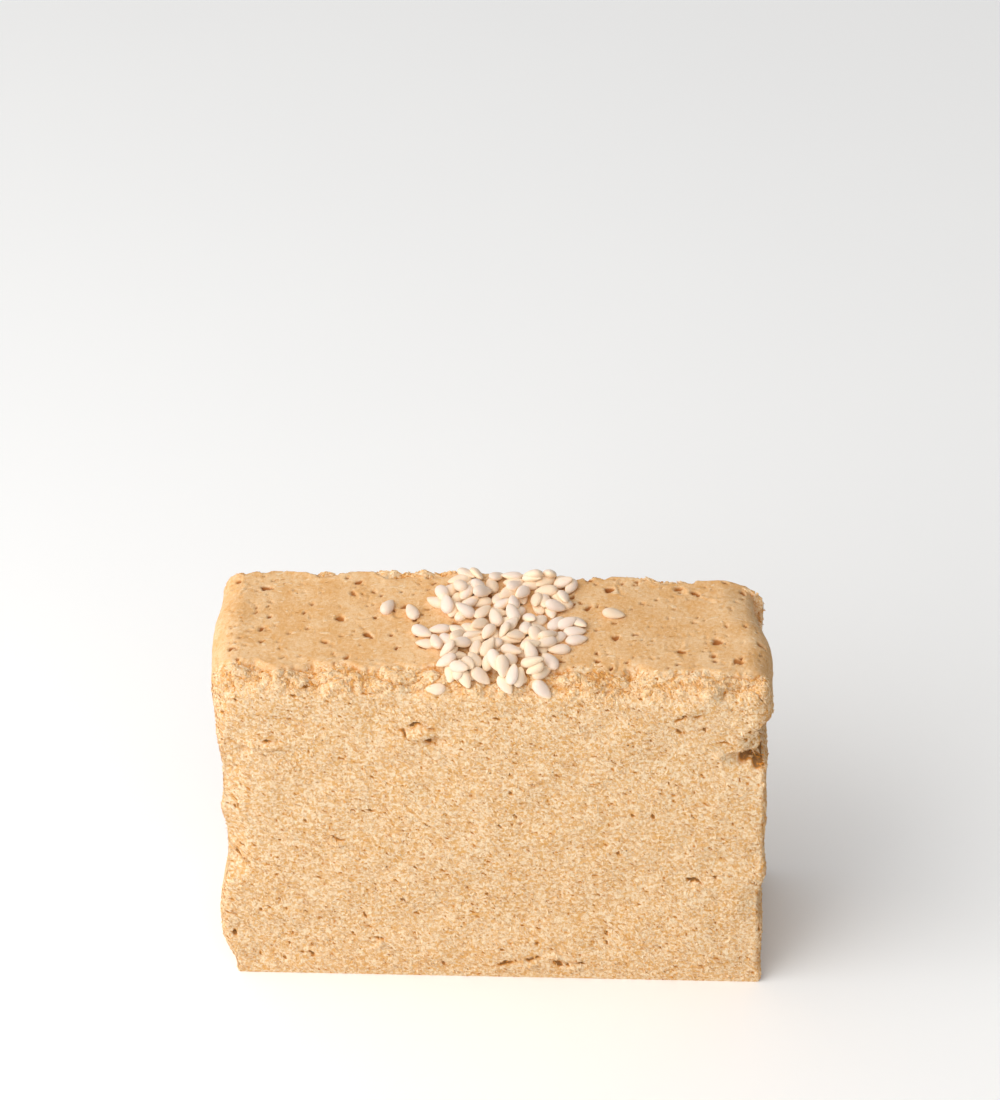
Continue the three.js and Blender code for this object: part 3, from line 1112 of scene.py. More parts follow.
LEDGES = (
    ledge(-11.4, 49.9, 1.9, 0.6, -0.6),  # crevice over the flake on the front
    ledge(-8.6, 49.5, 1.2, 0.5, -0.4),
    ledge(-13.3, 48.6, 0.6, 1.2, -0.5),  # crevice at its left end
    ledge(-11.6, 48.7, 1.7, 0.8, 0.2),  # its lifted upper edge
    ledge(-9.9, 46.9, 0.7, 1.0, -0.5),  # crack across it
    ledge(-32.4, 46.6, 1.9, 0.5, -0.35),  # crevice over the flake at the left
    ledge(-35.0, 45.3, 1.6, 0.9, 0.5),  # crumbs in the pit beside it
    ledge(-38.4, 8.2, 0.7, 1.5, -0.8),  # tear near the left foot
    ledge(38.4, 44.1, 3.2, 1.7, -1.7),  # depth of the torn hollow by the notch
    ledge(33.2, 45.0, 1.3, 1.6, 0.5),  # its raised left lip
    ledge(26.6, 52.0, 1.5, 0.6, -0.5),  # crevice under the flake by the rim
    ledge(29.6, 52.6, 1.2, 0.7, -0.3),
    ledge(2.2, 3.4, 1.6, 0.5, -0.6),  # crevices along the foot
    ledge(6.0, 4.1, 2.0, 0.5, -0.7),
    ledge(9.8, 3.0, 1.6, 0.5, -0.6),
    ledge(13.2, 3.7, 1.3, 0.5, -0.6),
    ledge(5.4, 2.9, 1.9, 0.9, 0.6),  # flakes between them
    ledge(9.0, 4.3, 1.5, 0.8, 0.5),
    ledge(12.6, 2.4, 1.4, 0.8, 0.5),
    ledge(-16.5, 6.2, 1.8, 0.7, 0.5),  # small flakes, each with a crevice over it
    ledge(-16.9, 7.2, 1.6, 0.5, -0.5),
    ledge(30.2, 19.5, 1.9, 0.8, 0.4),
    ledge(29.8, 20.6, 1.7, 0.5, -0.5),
    ledge(-22.4, 26.5, 1.9, 0.8, 0.4),
    ledge(-22.6, 27.6, 1.6, 0.5, -0.4),
)


@dataclass
class HalvaSlice:
    """The slice's fine surface, down to crumb and pits."""

    form: SliceForm
    cells: tuple[int, int, int] = (320, 100, 232)  # along X, Y and Z
    crowding: Triple = (0.0, 0.25, 0.15)  # of the cells towards the edges
    map_border: float = 0.01  # left empty round each flat map
    foot_map: float = 1.1  # width of the underside's map over the slice's
    fine_fade: Range = (0.0, 1.5)  # heights between which fine relief begins
    end_facing: float = 0.75  # share of X in the facing from which a place is on an end
    # the broken crumb
    grain: Swings = Swings(0.08, 1.1, 0, 2, 0.7)
    grain_lean: Pair = (0.7, 1.5)  # slant and flatness of the grain
    mound: Swings = Swings(0.16, 3.4, 53, 2)
    chunk: Swings = Swings(1.0, 1.7, 29, 2)
    chunk_height: float = 0.8
    chunk_level: float = 0.25  # mean height, taken off
    crease_width: float = 0.3  # of the lines between chunks, as a share of their noise
    # painted shade in the creases between the rim's chunks
    crease_hollow: float = 0.5
    gap_push: tuple[Swings, Swings] = (Swings(0.25, 0.7, 5), Swings(0.25, 0.7, 9))
    gaps: Sequence[PitPattern] = (
        PitPattern(2.0, 0.4, (0.2, 0.65), (0.3, 0.55), (0.12, 0.32), -0.75, 0.4, 11),
        PitPattern(0.8, 0.5, (0.14, 0.32), (0.45, 0.8), (0.07, 0.18), -0.75, 0.8, 31),
    )
    # painted shade in the gaps, for each millimetre of their depth
    gap_hollow: float = 6.0
    # the pressed skin
    wave: Swings = Swings(0.08, 3.0, 0, 3)
    wave_stretch: Triple = (0.5, 1, 1)
    wrinkle: Swings = Swings(1.0, 3.2, 61)
    wrinkle_warp: Swings = Swings(0.8, 1.6, 23)
    wrinkle_spots: Swings = Swings(1.0, 4.5, 67)
    wrinkle_range: Range = (-0.1, 0.3)
    wrinkle_width: float = 0.07  # as a share of its noise
    wrinkle_height: float = 0.15
    dip_offset: float = 2.0  # widths from a wrinkle to the dip along it
    # painted shade along the dip beside each wrinkle
    dip_hollow: float = 0.2
    pit_push: Swings = Swings(0.25, 0.6, 5)
    skin_pits: Sequence[PitPattern] = (
        PitPattern(3.1, 0.65, (0.25, 1.0), (0.4, 0.9), (0.35, 0.9), 0.1, 0.9, 51),
        PitPattern(1.3, 0.3, (0.16, 0.38), (0.5, 1.0), (0.2, 0.45), 0.1, 1.5, 71),
    )
    # painted shade in the skin's pits, for each millimetre of their depth
    pit_hollow: float = 2.0
    # the skin's border
    fray: Swings = Swings(1.8, 2.6, 71, 3)
    tear_top: float = 46  # height under which the right end has no skin
    tear_reach: float = 3  # over and under that height
    tear_fray: float = 4  # how much the border's fray moves it
    right_facing: float = 0.3  # share of X in the facing from which the right end starts
    cut_facing: Range = (0.75, 0.95)  # shares of Y between which a cut face starts
    cut_margin: float = 3  # how far that moves the border
    border_softness: float = 0.1
    lip_spots: Swings = Swings(1.0, 6.0, 91)
    lip_range: Range = (-0.3, 0.4)
    lip_height: float = 0.15
    lip_reach: float = 0.4
    groove_depth: float = 0.2
    # flakes and crevices
    ledges: Sequence[Form] = LEDGES
    ledge_push: Sequence[Swings] = tuple(Swings(1.1, 1.6, shift, 2) for shift in (83, 89, 97))
    ledge_rubble: Swings = Swings(0.5, 0.9, 19, 2)
    # painted shade: how much darker the finish makes each point, in hollows, under the seeds and
    # over the bare right end
    hollow_rounds: int = 8  # of smoothing for the mean height round each point
    hollow_gain: float = 1.25
    hollow_floor: float = 0.05  # millimetres that do not count as sunken
    border_reach: float = 0.9  # distance from the skin's border that counts as near it
    border_share: float = 0.6  # how much less painted shade it takes there
    # painted shade in the crevices and caves of the ledges
    ledge_hollow: float = 2.5
    end_range: Range = (0.1, 0.6)  # shares of X between which the right end starts
    # painted shade over the bare right end, which faces away from the key light, mottled by noise
    end_painted_shade: float = 0.2
    end_shade_mottle: Swings = Swings(0.35, 1.2, 41, 3)
    top_facing: Range = (0.7, 0.95)  # shares of Z between which the top starts
    # painted shade on the top where the seeds hide the sky
    shelter_shade_gain: float = 0.2
    deepest_hollow: float = 3
    finish: HalvaFinish = field(default_factory=HalvaFinish)

    def box_shell(self) -> tuple[Array, dict[str, Array]]:
        """A box of square cells without its underside.

        Returns:
            Whole-numbered places of its vertices, and for each part of the shell the four
            vertices round each of its cells.
        """
        quads, part_of = [], []
        for axis, far in product(range(3), (False, True)):
            if axis == 2 and not far:
                continue
            u, v = (axis + 1) % 3, (axis + 2) % 3
            sides = np.arange(self.cells[u]), np.arange(self.cells[v])
            rows, columns = (side.ravel() for side in np.meshgrid(*sides, indexing="ij"))
            turn = ((0, 0), (1, 0), (1, 1), (0, 1))
            ring = []
            for step_u, step_v in turn if far else reversed(turn):
                corner = np.zeros((rows.size, 3), int)
                corner[:, axis] = self.cells[axis] if far else 0
                corner[:, u] = rows + step_u
                corner[:, v] = columns + step_v
                ring.append(corner)
            quads.append(np.stack(ring, axis=1))
            part_of += [("back" if far else "front") if axis == 1 else "loaf"] * rows.size
        ring = np.concatenate(quads).reshape(-1, 3)
        places, numbers = np.unique(ring, axis=0, return_inverse=True)
        numbers, part_of = numbers.reshape(-1, 4), np.array(part_of)
        return places, {part: numbers[part_of == part] for part in ("front", "back", "loaf")}

    def underside(self, lattice: Array) -> list[int]:
        """The vertices round the flat underside, seen from below.

        Args:
            lattice: whole-numbered places of the shell's vertices.

        Returns:
            Their numbers, in turn.
        """
        nx, ny, _ = self.cells
        ring = [(0, j) for j in range(ny)] + [(i, ny) for i in range(nx)]
        ring += [(nx, j) for j in range(ny, 0, -1)] + [(i, 0) for i in range(nx, 0, -1)]
        low = np.flatnonzero(lattice[:, 2] == 0)
        number = {tuple(lattice[n, :2].tolist()): int(n) for n in low}
        return [number[place] for place in ring]

    def spread(self, lattice: Array) -> Array:
        """Places of the shell's vertices on the plain block.

        Args:
            lattice: their whole-numbered places.

        Returns:
            Points in millimetres, crowded towards the edges.
        """
        share = np.array(self.crowding)
        t = 2 * lattice / np.array(self.cells) - 1
        t = (1 - share) * t + share * np.sin(math.pi / 2 * t)
        half = np.array((self.form.width, self.form.thickness, self.form.height)) / 2
        return t * half + (0, 0, half[2])

    def crumb(self, places: Array, facing: Array, rim: Array) -> tuple[Array, Array]:
        """Relief of the broken crumb.

        Args:
            places: points on the plain block.
            facing: the way it faces there.
            rim: how near each is to an upper edge.

        Returns:
            Millimetres outward, and the painted shade of its gaps and creases.
        """
        x, y, z = places.T
        lean, rise = self.grain_lean
        slanted = np.stack([x, y, rise * z + lean * x], axis=1)
        chunks = np.abs(self.chunk.over(places))
        height = self.grain.over(slanted) + np.abs(self.mound.over(slanted))
        height += self.chunk_height * rim * (chunks - self.chunk_level)
        hollow = self.crease_hollow * rim * (1 - smooth_step(0, self.crease_width, chunks))
        aside = np.abs(facing[:, 0]) > self.end_facing
        push_u, push_v = (push.over(places) for push in self.gap_push)
        u, v = np.where(aside, y, x) + push_u, np.where(aside, z, y + z) + push_v
        for pattern in self.gaps:
            depth = pattern.over(u, v)
            height -= depth
            hollow = np.maximum(hollow, self.gap_hollow * depth)
        return height, np.minimum(hollow, 1)

    def skin(self, places: Array, facing: Array) -> tuple[Array, Array]:
        """Relief of the pressed skin.

        Args:
            places: points on the plain block.
            facing: the way it faces there.

        Returns:
            Millimetres outward, and the painted shade of its pits and wrinkle dips.
        """
        x, y, z = places.T
        height = self.wave.over(places * self.wave_stretch)
        warped = places + self.wrinkle_warp.over(places)[:, None]
        line = self.wrinkle.over(warped) / self.wrinkle_width
        where = smooth_step(*self.wrinkle_range, self.wrinkle_spots.over(places))
        dip = where * np.exp(-((line - self.dip_offset) ** 2))
        height += self.wrinkle_height * (where * np.exp(-(line**2)) - dip)
        aside = np.abs(facing[:, 0]) > self.end_facing
        push = self.pit_push.over(places)
        u, v = np.where(aside, y, x) + push, np.where(aside, z, y) - push
        depth = np.maximum.reduce([pattern.over(u, v) for pattern in self.skin_pits])
        return height - depth, self.pit_hollow * depth + self.dip_hollow * dip

    def skin_edge(self, places: Array, facing: Array) -> Array:
        """How far inside the skin's ragged border each place is.

        Args:
            places: points on the plain block.
            facing: the way it faces there.

        Returns:
            Millimetres, under 0 where the skin is gone: on the cut faces, and low on the
            right end, where it is torn off.
        """
        fray = self.fray.over(places)
        low, high = self.tear_top - self.tear_reach, self.tear_top + self.tear_reach
        torn = smooth_step(high, low, places[:, 2] + self.tear_fray * fray)
        margin = self.form.skin_margin(places, fray)
        margin -= self.form.thickness * torn * (facing[:, 0] > self.right_facing)
        return margin - self.cut_margin * smooth_step(*self.cut_facing, np.abs(facing[:, 1]))

    def cover(self, places: Array, facing: Array) -> Cover:
        """Works out what covers the slice.

        Args:
            places: points on the plain block.
            facing: the way it faces there.

        Returns:
            Its cover at each of them.
        """
        margin = self.skin_edge(places, facing)
        bare = 1 - smooth_step(-self.border_softness, self.border_softness, margin)
        rim = self.form.rim_nearness(places)
        lifted = rim * smooth_step(*self.lip_range, self.lip_spots.over(places))
        lip = lifted * np.exp(-((margin / self.lip_reach - 1) ** 2))
        groove = lifted * np.exp(-((margin / self.lip_reach + 1) ** 2))
        crumb, crumb_hollow = self.crumb(places, facing, rim)
        skin, skin_hollow = self.skin(places, facing)
        push = np.stack([swings.over(places) for swings in self.ledge_push], axis=1)
        ledges = sum(form.over(places + push) for form in self.ledges)
        fine = bare * crumb + (1 - bare) * skin + ledges
        fine += self.lip_height * lip - self.groove_depth * groove
        fine += np.maximum(0, -ledges) * self.ledge_rubble.over(places)
        fine *= smooth_step(*self.fine_fade, places[:, 2])
        hollow = bare * crumb_hollow + (1 - bare) * skin_hollow
        return Cover(margin, bare, rim, ledges, fine, hollow)

    def sunken(self, height: Array, quads: Array) -> Array:
        """How far each vertex lies under the mean height round it.

        Args:
            height: of each vertex over the plain block.
            quads: the four vertices round each cell.

        Returns:
            Millimetres, for each vertex.
        """
        mean, shared = height, np.bincount(quads.ravel())
        for _ in range(self.hollow_rounds):
            over = np.repeat(mean[quads].mean(axis=1), 4)
            mean = np.bincount(quads.ravel(), weights=over) / shared
        return mean - height

    def painted_shade(self, plain: Array, facing: Array, cover: Cover, sunken: Array) -> Array:
        """The painted shade that the finish lays on the slice, in pits, gaps, creases and caves,
        where it lies sunken, and over the bare right end.

        Args:
            plain: points on the plain block.
            facing: the way it faces there.
            cover: what covers it.
            sunken: how far each point lies under the ones round it.

        Returns:
            One value for each point, over 1 in caves.
        """
        border = np.exp(-((cover.margin / self.border_reach) ** 2))
        gain = self.hollow_gain * (1 - self.border_share * border)
        hollow = cover.hollow + cover.bare * gain * np.maximum(0, sunken - self.hollow_floor)
        hollow += self.ledge_hollow * np.maximum(0, -cover.ledges)
        aside = smooth_step(*self.end_range, facing[:, 0]) * cover.bare
        return hollow + aside * (self.end_painted_shade + self.end_shade_mottle.over(plain))

    def flat_map(self, part: str, lattice: Array) -> Array:
        """Each vertex's place on the flat map of its part.

        Args:
            part: front, back or loaf, whose two ends are folded up to its top.
            lattice: whole-numbered places of its vertices.

        Returns:
            Two numbers for each, between 0 and 1.
        """
        nx, ny, nz = self.cells
        x, y, z = lattice.T
        if part == "loaf":
            strip = np.where(x == 0, z, np.where(x == nx, nz + nx + (nz - z), nz + x))
            places = np.stack([strip / (nx + 2 * nz), y / ny], axis=1)
        else:
            places = np.stack([x / nx, z / nz], axis=1)
        return self.map_border + (1 - 2 * self.map_border) * places

    def build(self, drops: "DropMap") -> Ground:
        """Makes and dresses the slice, each cut face as a piece of its own.

        Args:
            drops: the heights over the seeds that lie on it.

        Returns:
            Its surface.
        """
        lattice, parts = self.box_shell()
        plain = self.form.settle(self.spread(lattice))
        facing = self.form.outward(plain)
        cover = self.cover(plain, facing)
        height = self.form.relief(plain, facing, cover.bare) + cover.fine
        points = plain + facing * height[:, None]
        points[:, 2] = np.where(lattice[:, 2] == 0, 0, np.maximum(points[:, 2], 0))
        sunken = self.sunken(height, np.concatenate(list(parts.values())))
        hollow = self.painted_shade(plain, facing, cover, sunken)
        # painted shade on the top where the seeds hide the sky
        upward = smooth_step(*self.top_facing, facing[:, 2])
        hollow += self.shelter_shade_gain * upward * drops.shelter(points)
        rim = cover.rim * cover.bare + np.maximum(0, cover.ledges)
        masks = {
            Mask.SKIN: 1 - cover.bare,
            Mask.PAINTED_SHADE_AND_GLOW: np.clip(hollow, 0, self.deepest_hollow),
            Mask.RIM: np.clip(rim, 0, 1),
        }
        self.make_pieces(lattice, parts, points, masks)
        normals = self.facing_of(points, parts.values())
        return Ground(points, normals, *(masks[m] for m in (Mask.SKIN, Mask.RIM, Mask.PAINTED_SHADE_AND_GLOW)))

    def make_pieces(
        self,
        lattice: Array,
        parts: dict[str, Array],
        points: Array,
        masks: dict[Mask, Array],
    ) -> None:
        """Makes and dresses a piece for each part of the shell, and one for its underside.

        Args:
            lattice: whole-numbered places of the shell's vertices.
            parts: the four vertices round each cell of each part.
            points: the vertices' places in millimetres.
            masks: what each of them tells the finish.
        """
        pieces = []
        for part, quads in parts.items():
            used, numbers = np.unique(quads, return_inverse=True)
            faces = numbers.reshape(-1, 4).tolist()
            own = {mask: values[used] for mask, values in masks.items()}
            places = self.flat_map(part, lattice[used])
            pieces.append(mesh_object(f"halva_{part}", points[used], faces, own, places))
        foot = points[self.underside(lattice)]
        places = 0.5 + foot[:, :2] / (self.foot_map * self.form.width)
        dry = {mask: np.zeros(len(foot)) for mask in masks}
        pieces.append(mesh_object("halva_underside", foot, [range(len(foot))], dry, places))
        material = self.finish.material()
        for piece in pieces:
            hand_over(piece, material)

    @staticmethod
    def facing_of(points: Array, parts: Iterable[Array]) -> Array:
        """The way the finished surface faces at each vertex.

        Args:
            points: the vertices' places.
            parts: the four vertices round each cell, part by part.

        Returns:
            A vector of length 1 for each vertex.
        """
        normals = np.zeros_like(points)
        for quads in parts:
            a, b, c, d = (points[quads[:, n]] for n in range(4))
            across = np.cross(c - a, d - b)
            for n in range(4):
                np.add.at(normals, quads[:, n], across)
        return normals / np.linalg.norm(normals, axis=1, keepdims=True)


# ------------------------------------------------------------------ the seeds


@dataclass(frozen=True)
class Patch:
    """An oval of the top with a number of seeds on it."""

    at: Pair
    half: Pair
    count: int


@dataclass(frozen=True)
class LoneSeed:
    """A seed that lies alone, with its heading in degrees from X."""

    at: Pair
    heading: float


@dataclass
class Seed:
    """One seed where it came to rest."""

    at: Triple  # its middle
    heading: float  # the way it points, in radians from X
    pitch: float  # slope along it
    roll: float  # slope across it
    size: float  # as a share of the usual one
    half: Triple  # half sizes along, across and up

    def axes(self) -> Array:
        """How the seed lies.

        Returns:
            The ways along, across and up, a row for each.
        """
        cos, sin = math.cos(self.heading), math.sin(self.heading)
        along = np.array((cos, sin, self.pitch))
        along /= np.linalg.norm(along)
        up = np.cross(along, (-sin, cos, self.roll))
        up /= np.linalg.norm(up)
        return np.stack([along, np.cross(up, along), up])


@dataclass
class DropMap:
    """The heights that a falling seed meets, in square cells over the middle of the top."""

    form: SliceForm
    cell: float = 0.25
    half: Pair = (21, 13)  # how far it reaches along X and Y
    bearings: int = 8  # directions in which to look for shelter
    reaches: Sequence[float] = (0.3, 0.6, 1.0, 1.5, 2.2)  # distances at which to look
    buried: Range = (0.1, 0.6)  # heights of seed over a point that hide it

    def __post_init__(self) -> None:
        """Finds the slice's own surface in each cell."""
        self.columns, self.rows = (round(2 * reach / self.cell) for reach in self.half)
        rows, columns = np.divmod(np.arange(self.rows * self.columns), self.columns)
        x, y = ((n + 0.5) * self.cell - w for n, w in zip((columns, rows), self.half))
        self.heights = self.form.top_height(x, y)

    def index_of(self, x: Array | float, y: Array | float) -> Array:
        """Number of the cell over each place, or -1 off the map.

        Args:
            x, y: the places.

        Returns:
            One whole number for each.
        """
        column, row = (
            np.floor((place + reach) / self.cell).astype(int)
            for place, reach in zip((x, y), self.half)
        )
        inside = (column >= 0) & (column < self.columns) & (row >= 0) & (row < self.rows)
        return np.where(inside, row * self.columns + column, -1)

    def over(self, points: Array) -> Array:
        """How high the map stands over each point, far below it off the map."""
        index = self.index_of(points[:, 0], points[:, 1])
        return np.where(index < 0, -self.half[0], self.heights[index] - points[:, 2])

    def shelter(self, points: Array) -> Array:
        """How much of the sky the seeds hide from each point.

        Args:
            points: places in millimetres.

        Returns:
            From 0 in the open to 1 under the seeds.
        """
        hidden = np.zeros(len(points))
        for turn in np.arange(self.bearings) * 2 * math.pi / self.bearings:
            steepest = np.zeros(len(points))
            for reach in self.reaches:
                step = reach * np.array((math.cos(turn), math.sin(turn), 0))
                steepest = np.maximum(steepest, self.over(points + step) / reach)
            hidden += steepest / np.hypot(1, steepest) / self.bearings
        return np.maximum(hidden, smooth_step(*self.buried, self.over(points)))


@dataclass
class SesameSeeds:
    """Hulled seeds strewn over the middle of the slice's top, lying on it and on each other."""

    form: SliceForm
    length: float = 3.25
    width: float = 1.85
    thickness: float = 1.15
    size_spread: float = 0.1  # how much larger or smaller a seed may be
    taper: float = 0.24  # how much slimmer its tip is
    fullness: float = 0.55  # power of its outline, 0.5 for an oval
    sink: float = 0.28  # how deep a seed may press in
    steepest: float = 0.9  # slope at which a seed may lie
    tries: int = 8  # places tried for each seed, of which it takes the lowest
    spots_along: Sequence[float] = (-0.8, -0.4, 0, 0.4, 0.8)  # where it feels what is under it
    spots_across: Sequence[float] = (-0.6, 0, 0.6)
    fall_start: int = 58  # of the draws for how the seeds fall
    shape_start: int = 5  # of the draws for their shapes
    sides: int = 20
    bands: int = 16
    wobble: float = 0.05  # how far the surface strays, as a share of the half sizes
    wobble_size: float = 1.2  # swings of that over half a seed
    wobble_step: float = 9.1  # sets it apart from one seed to the next
    bend: Range = (-0.10, 0.10)  # sideways, as a share of the half width
    plumpness: Range = (0.95, 1.2)
    droop: float = 0.15  # how much thinner its tip is
    map_border: float = 0.05  # left empty round each flat map
    painted_glow_range: Range = (0.15, 0.6)  # shelter between which the painted glow sets in
    patches: Sequence[Patch] = (
        Patch((-1.2, 10.3), (4.6, 1.3), 8),
        Patch((-5.4, 6.0), (3.6, 3.6), 15),
        Patch((1.0, 4.8), (3.4, 4.4), 14),
        Patch((7.6, 7.0), (4.0, 4.2), 17),
        Patch((-8.2, -2.1), (3.6, 2.4), 6),
        Patch((-0.6, -2.0), (4.8, 3.4), 15),
        Patch((8.1, -1.6), (4.9, 3.6), 16),
        Patch((-3.4, -7.4), (3.5, 3.8), 15),
        Patch((4.1, -7.4), (4.2, 3.8), 16),
    )
    lone: Sequence[LoneSeed] = (
        LoneSeed((-15.6, 4.0), 70),
        LoneSeed((-12.1, 3.0), 110),
        LoneSeed((17.1, 2.9), -12),
        LoneSeed((-8.1, -11.6), 178),
        LoneSeed((7.1, -11.6), -28),
        LoneSeed((1.8, -11.7), -48),
    )
    finish: SeedFinish = field(default_factory=SeedFinish)

    def rest(self, ground: DropMap, x: float, y: float, heading: float, size: float) -> Seed:
        """Lays a seed down on the plane that fits the heights under it.

        Args:
            ground: the heights so far.
            x, y: the seed's place.
            heading: the way it points, in radians from X.
            size: its size as a share of the usual one.

        Returns:
            The seed, lifted until no part of it is deeper than its sink.
        """
        half = tuple(size * full / 2 for full in (self.length, self.width, self.thickness))
        cos, sin = math.cos(heading), math.sin(heading)
        along, across = np.array(list(product(self.spots_along, self.spots_across))).T
        u, v = along * half[0], across * half[1]
        index = ground.index_of(x + u * cos - v * sin, y + u * sin + v * cos)
        height = ground.heights[np.where(index < 0, ground.index_of(x, y), index)]
        belly = half[2] * np.sqrt(np.maximum(0, 1 - along * along - across * across))
        pitch, roll = (
            float(np.clip((w * height).sum() / (w * w).sum(), -self.steepest, self.steepest))
            for w in (u, v)
        )
        z = float((height + belly - pitch * u - roll * v).max()) - self.sink
        return Seed((x, y, z), heading, pitch, roll, size, half)

    @staticmethod
    def cover(ground: DropMap, seed: Seed) -> None:
        """Adds a resting seed's back to the heights that later seeds meet.

        Args:
            ground: the heights so far.
            seed: the seed.
        """
        cos, sin = math.cos(seed.heading), math.sin(seed.heading)
        reach = math.ceil(seed.half[0] / ground.cell)
        steps = np.arange(-reach, reach + 1) * ground.cell
        dy, dx = (step.ravel() for step in np.meshgrid(steps, steps, indexing="ij"))
        u, v = dx * cos + dy * sin, dy * cos - dx * sin
        square = (u / seed.half[0]) ** 2 + (v / seed.half[1]) ** 2
        index = ground.index_of(seed.at[0] + dx, seed.at[1] + dy)
        under = (square < 1) & (index >= 0)
        back = seed.at[2] + seed.pitch * u + seed.roll * v
        back += seed.half[2] * np.sqrt(np.maximum(0, 1 - square))
        np.maximum.at(ground.heights, index[under], back[under])

    def strew(self) -> tuple[list[Seed], DropMap]:
        """Lets the seeds fall.

        Returns:
            Every seed where it came to rest, in the order in which they fell, and the heights
            over them all.
        """
        ground = DropMap(self.form)
        draw = random_draws(self.fall_start)
        seeds: list[Seed] = []

        def draw_size() -> float:
            """A seed's size as a share of the usual one."""
            return 1 + self.size_spread * (2 * draw() - 1)

        def keep(seed: Seed) -> None:
            """Leaves a seed where it lies."""
            self.cover(ground, seed)
            seeds.append(seed)

        for lone in self.lone:
            keep(self.rest(ground, *lone.at, math.radians(lone.heading), draw_size()))
        for patch in self.patches:
            for _ in range(patch.count):
                size = draw_size()
                places = []
                for _ in range(self.tries):
                    far = math.sqrt(draw())
                    turn = 2 * math.pi * draw()
                    x = patch.at[0] + patch.half[0] * far * math.cos(turn)
                    y = patch.at[1] + patch.half[1] * far * math.sin(turn)
                    places.append(self.rest(ground, x, y, 2 * math.pi * draw(), size))
                keep(min(places, key=lambda seed: seed.at[2]))
        return seeds, ground

    def template(self) -> tuple[Array, list[list[int]], Array]:
        """A seed of unit half sizes along X, with its tip at +X.

        Returns:
            Its points, its faces, and each point's place on the flat map.
        """
        points, places = [(-1.0, 0.0, 0.0)], [(0.0, 0.5)]
        for band in range(1, self.bands):
            along = -math.cos(math.pi * band / self.bands)
            girth = (1 - along * along) ** self.fullness * (1 - self.taper * along)
            for side in range(self.sides):
                turn = 2 * math.pi * side / self.sides
                points.append((along, girth * math.cos(turn), girth * math.sin(turn)))
                places.append((band / self.bands, side / (self.sides - 1)))
        points.append((1.0, 0.0, 0.0))
        places.append((1.0, 0.5))
        last, faces = len(points) - 1, []
        for side in range(self.sides):
            after = (side + 1) % self.sides
            faces.append([0, 1 + after, 1 + side])
            for band in range(self.bands - 2):
                here, there = 1 + band * self.sides, 1 + (band + 1) * self.sides
                faces.append([here + side, here + after, there + after, there + side])
            near = last - self.sides
            faces.append([near + side, near + after, last])
        return np.array(points), faces, np.array(places)

    def build(self, seeds: Sequence[Seed], drops: DropMap) -> bpy.types.Object:
        """Makes and dresses the seeds.

        Args:
            seeds: every seed where it came to rest.
            drops: the heights over them all.

        Returns:
            The piece, on its body.
        """
        base, base_faces, base_places = self.template()
        draw = np.random.default_rng(self.shape_start)
        columns = math.ceil(math.sqrt(len(seeds)))
        border = self.map_border
        points, faces, places, shades = [], [], [], []
        for number, seed in enumerate(seeds):
            bend, plump = draw.uniform(*self.bend), draw.uniform(*self.plumpness)
            dent = layered_noise(base * self.wobble_size + number * self.wobble_step, 1.0, 2)
            shape = base * (1 + self.wobble * dent)[:, None]
            shape[:, 1] += bend * (1 - base[:, 0] ** 2)
            shape[:, 2] *= plump * (1 - self.droop * base[:, 0])
            points.append(seed.at + (shape * seed.half) @ seed.axes())
            faces += [[number * len(base) + n for n in face] for face in base_faces]
            cell = np.array((number % columns, number // columns))
            places.append((cell + border + (1 - 2 * border) * base_places) / columns)
            shades.append(np.full(len(base), draw.uniform()))
        points = np.concatenate(points)
        masks = {
            Mask.SHADE: np.concatenate(shades),
            Mask.ALONG: np.tile(base[:, 0] * 0.5 + 0.5, len(seeds)),
            # painted glow: the seeds' own shelter, for a warmer, brighter colour where they lie
            # against each other
            Mask.PAINTED_SHADE_AND_GLOW: smooth_step(*self.painted_glow_range, drops.shelter(points)),
        }
        piece = mesh_object("sesame_seeds", points, faces, masks, np.concatenate(places))
        hand_over(piece, self.finish.material())
        return piece


# ------------------------------------------------------------------ slivers and crumbs


class Solid(Enum):
    """The shapes that are scattered over broken crumb."""

    SLIVER = "sliver"
    CRUMB = "crumb"

    def template(self) -> tuple[Array, Array]:
        """The shape with half sizes of about 1.

        Returns:
            Its points and its triangles.
        """
        if self is Solid.CRUMB:
            points = [(1, 0, 0), (0, 1, 0), (-1, 0, 0), (0, -1, 0), (0, 0, 1), (0, 0, -1)]
            upper = [(0, 1, 4), (1, 2, 4), (2, 3, 4), (3, 0, 4)]
            return np.array(points, float), np.array(upper + [(b, a, 5) for a, b, _ in upper])
        points = [(1, 0, 0.1), (-1, 0.3, 0), (0.1, -1, -0.2), (-0.1, 0.5, 1)]
        return np.array(points, float), np.array([(0, 1, 2), (0, 3, 1), (1, 3, 2), (2, 3, 0)])


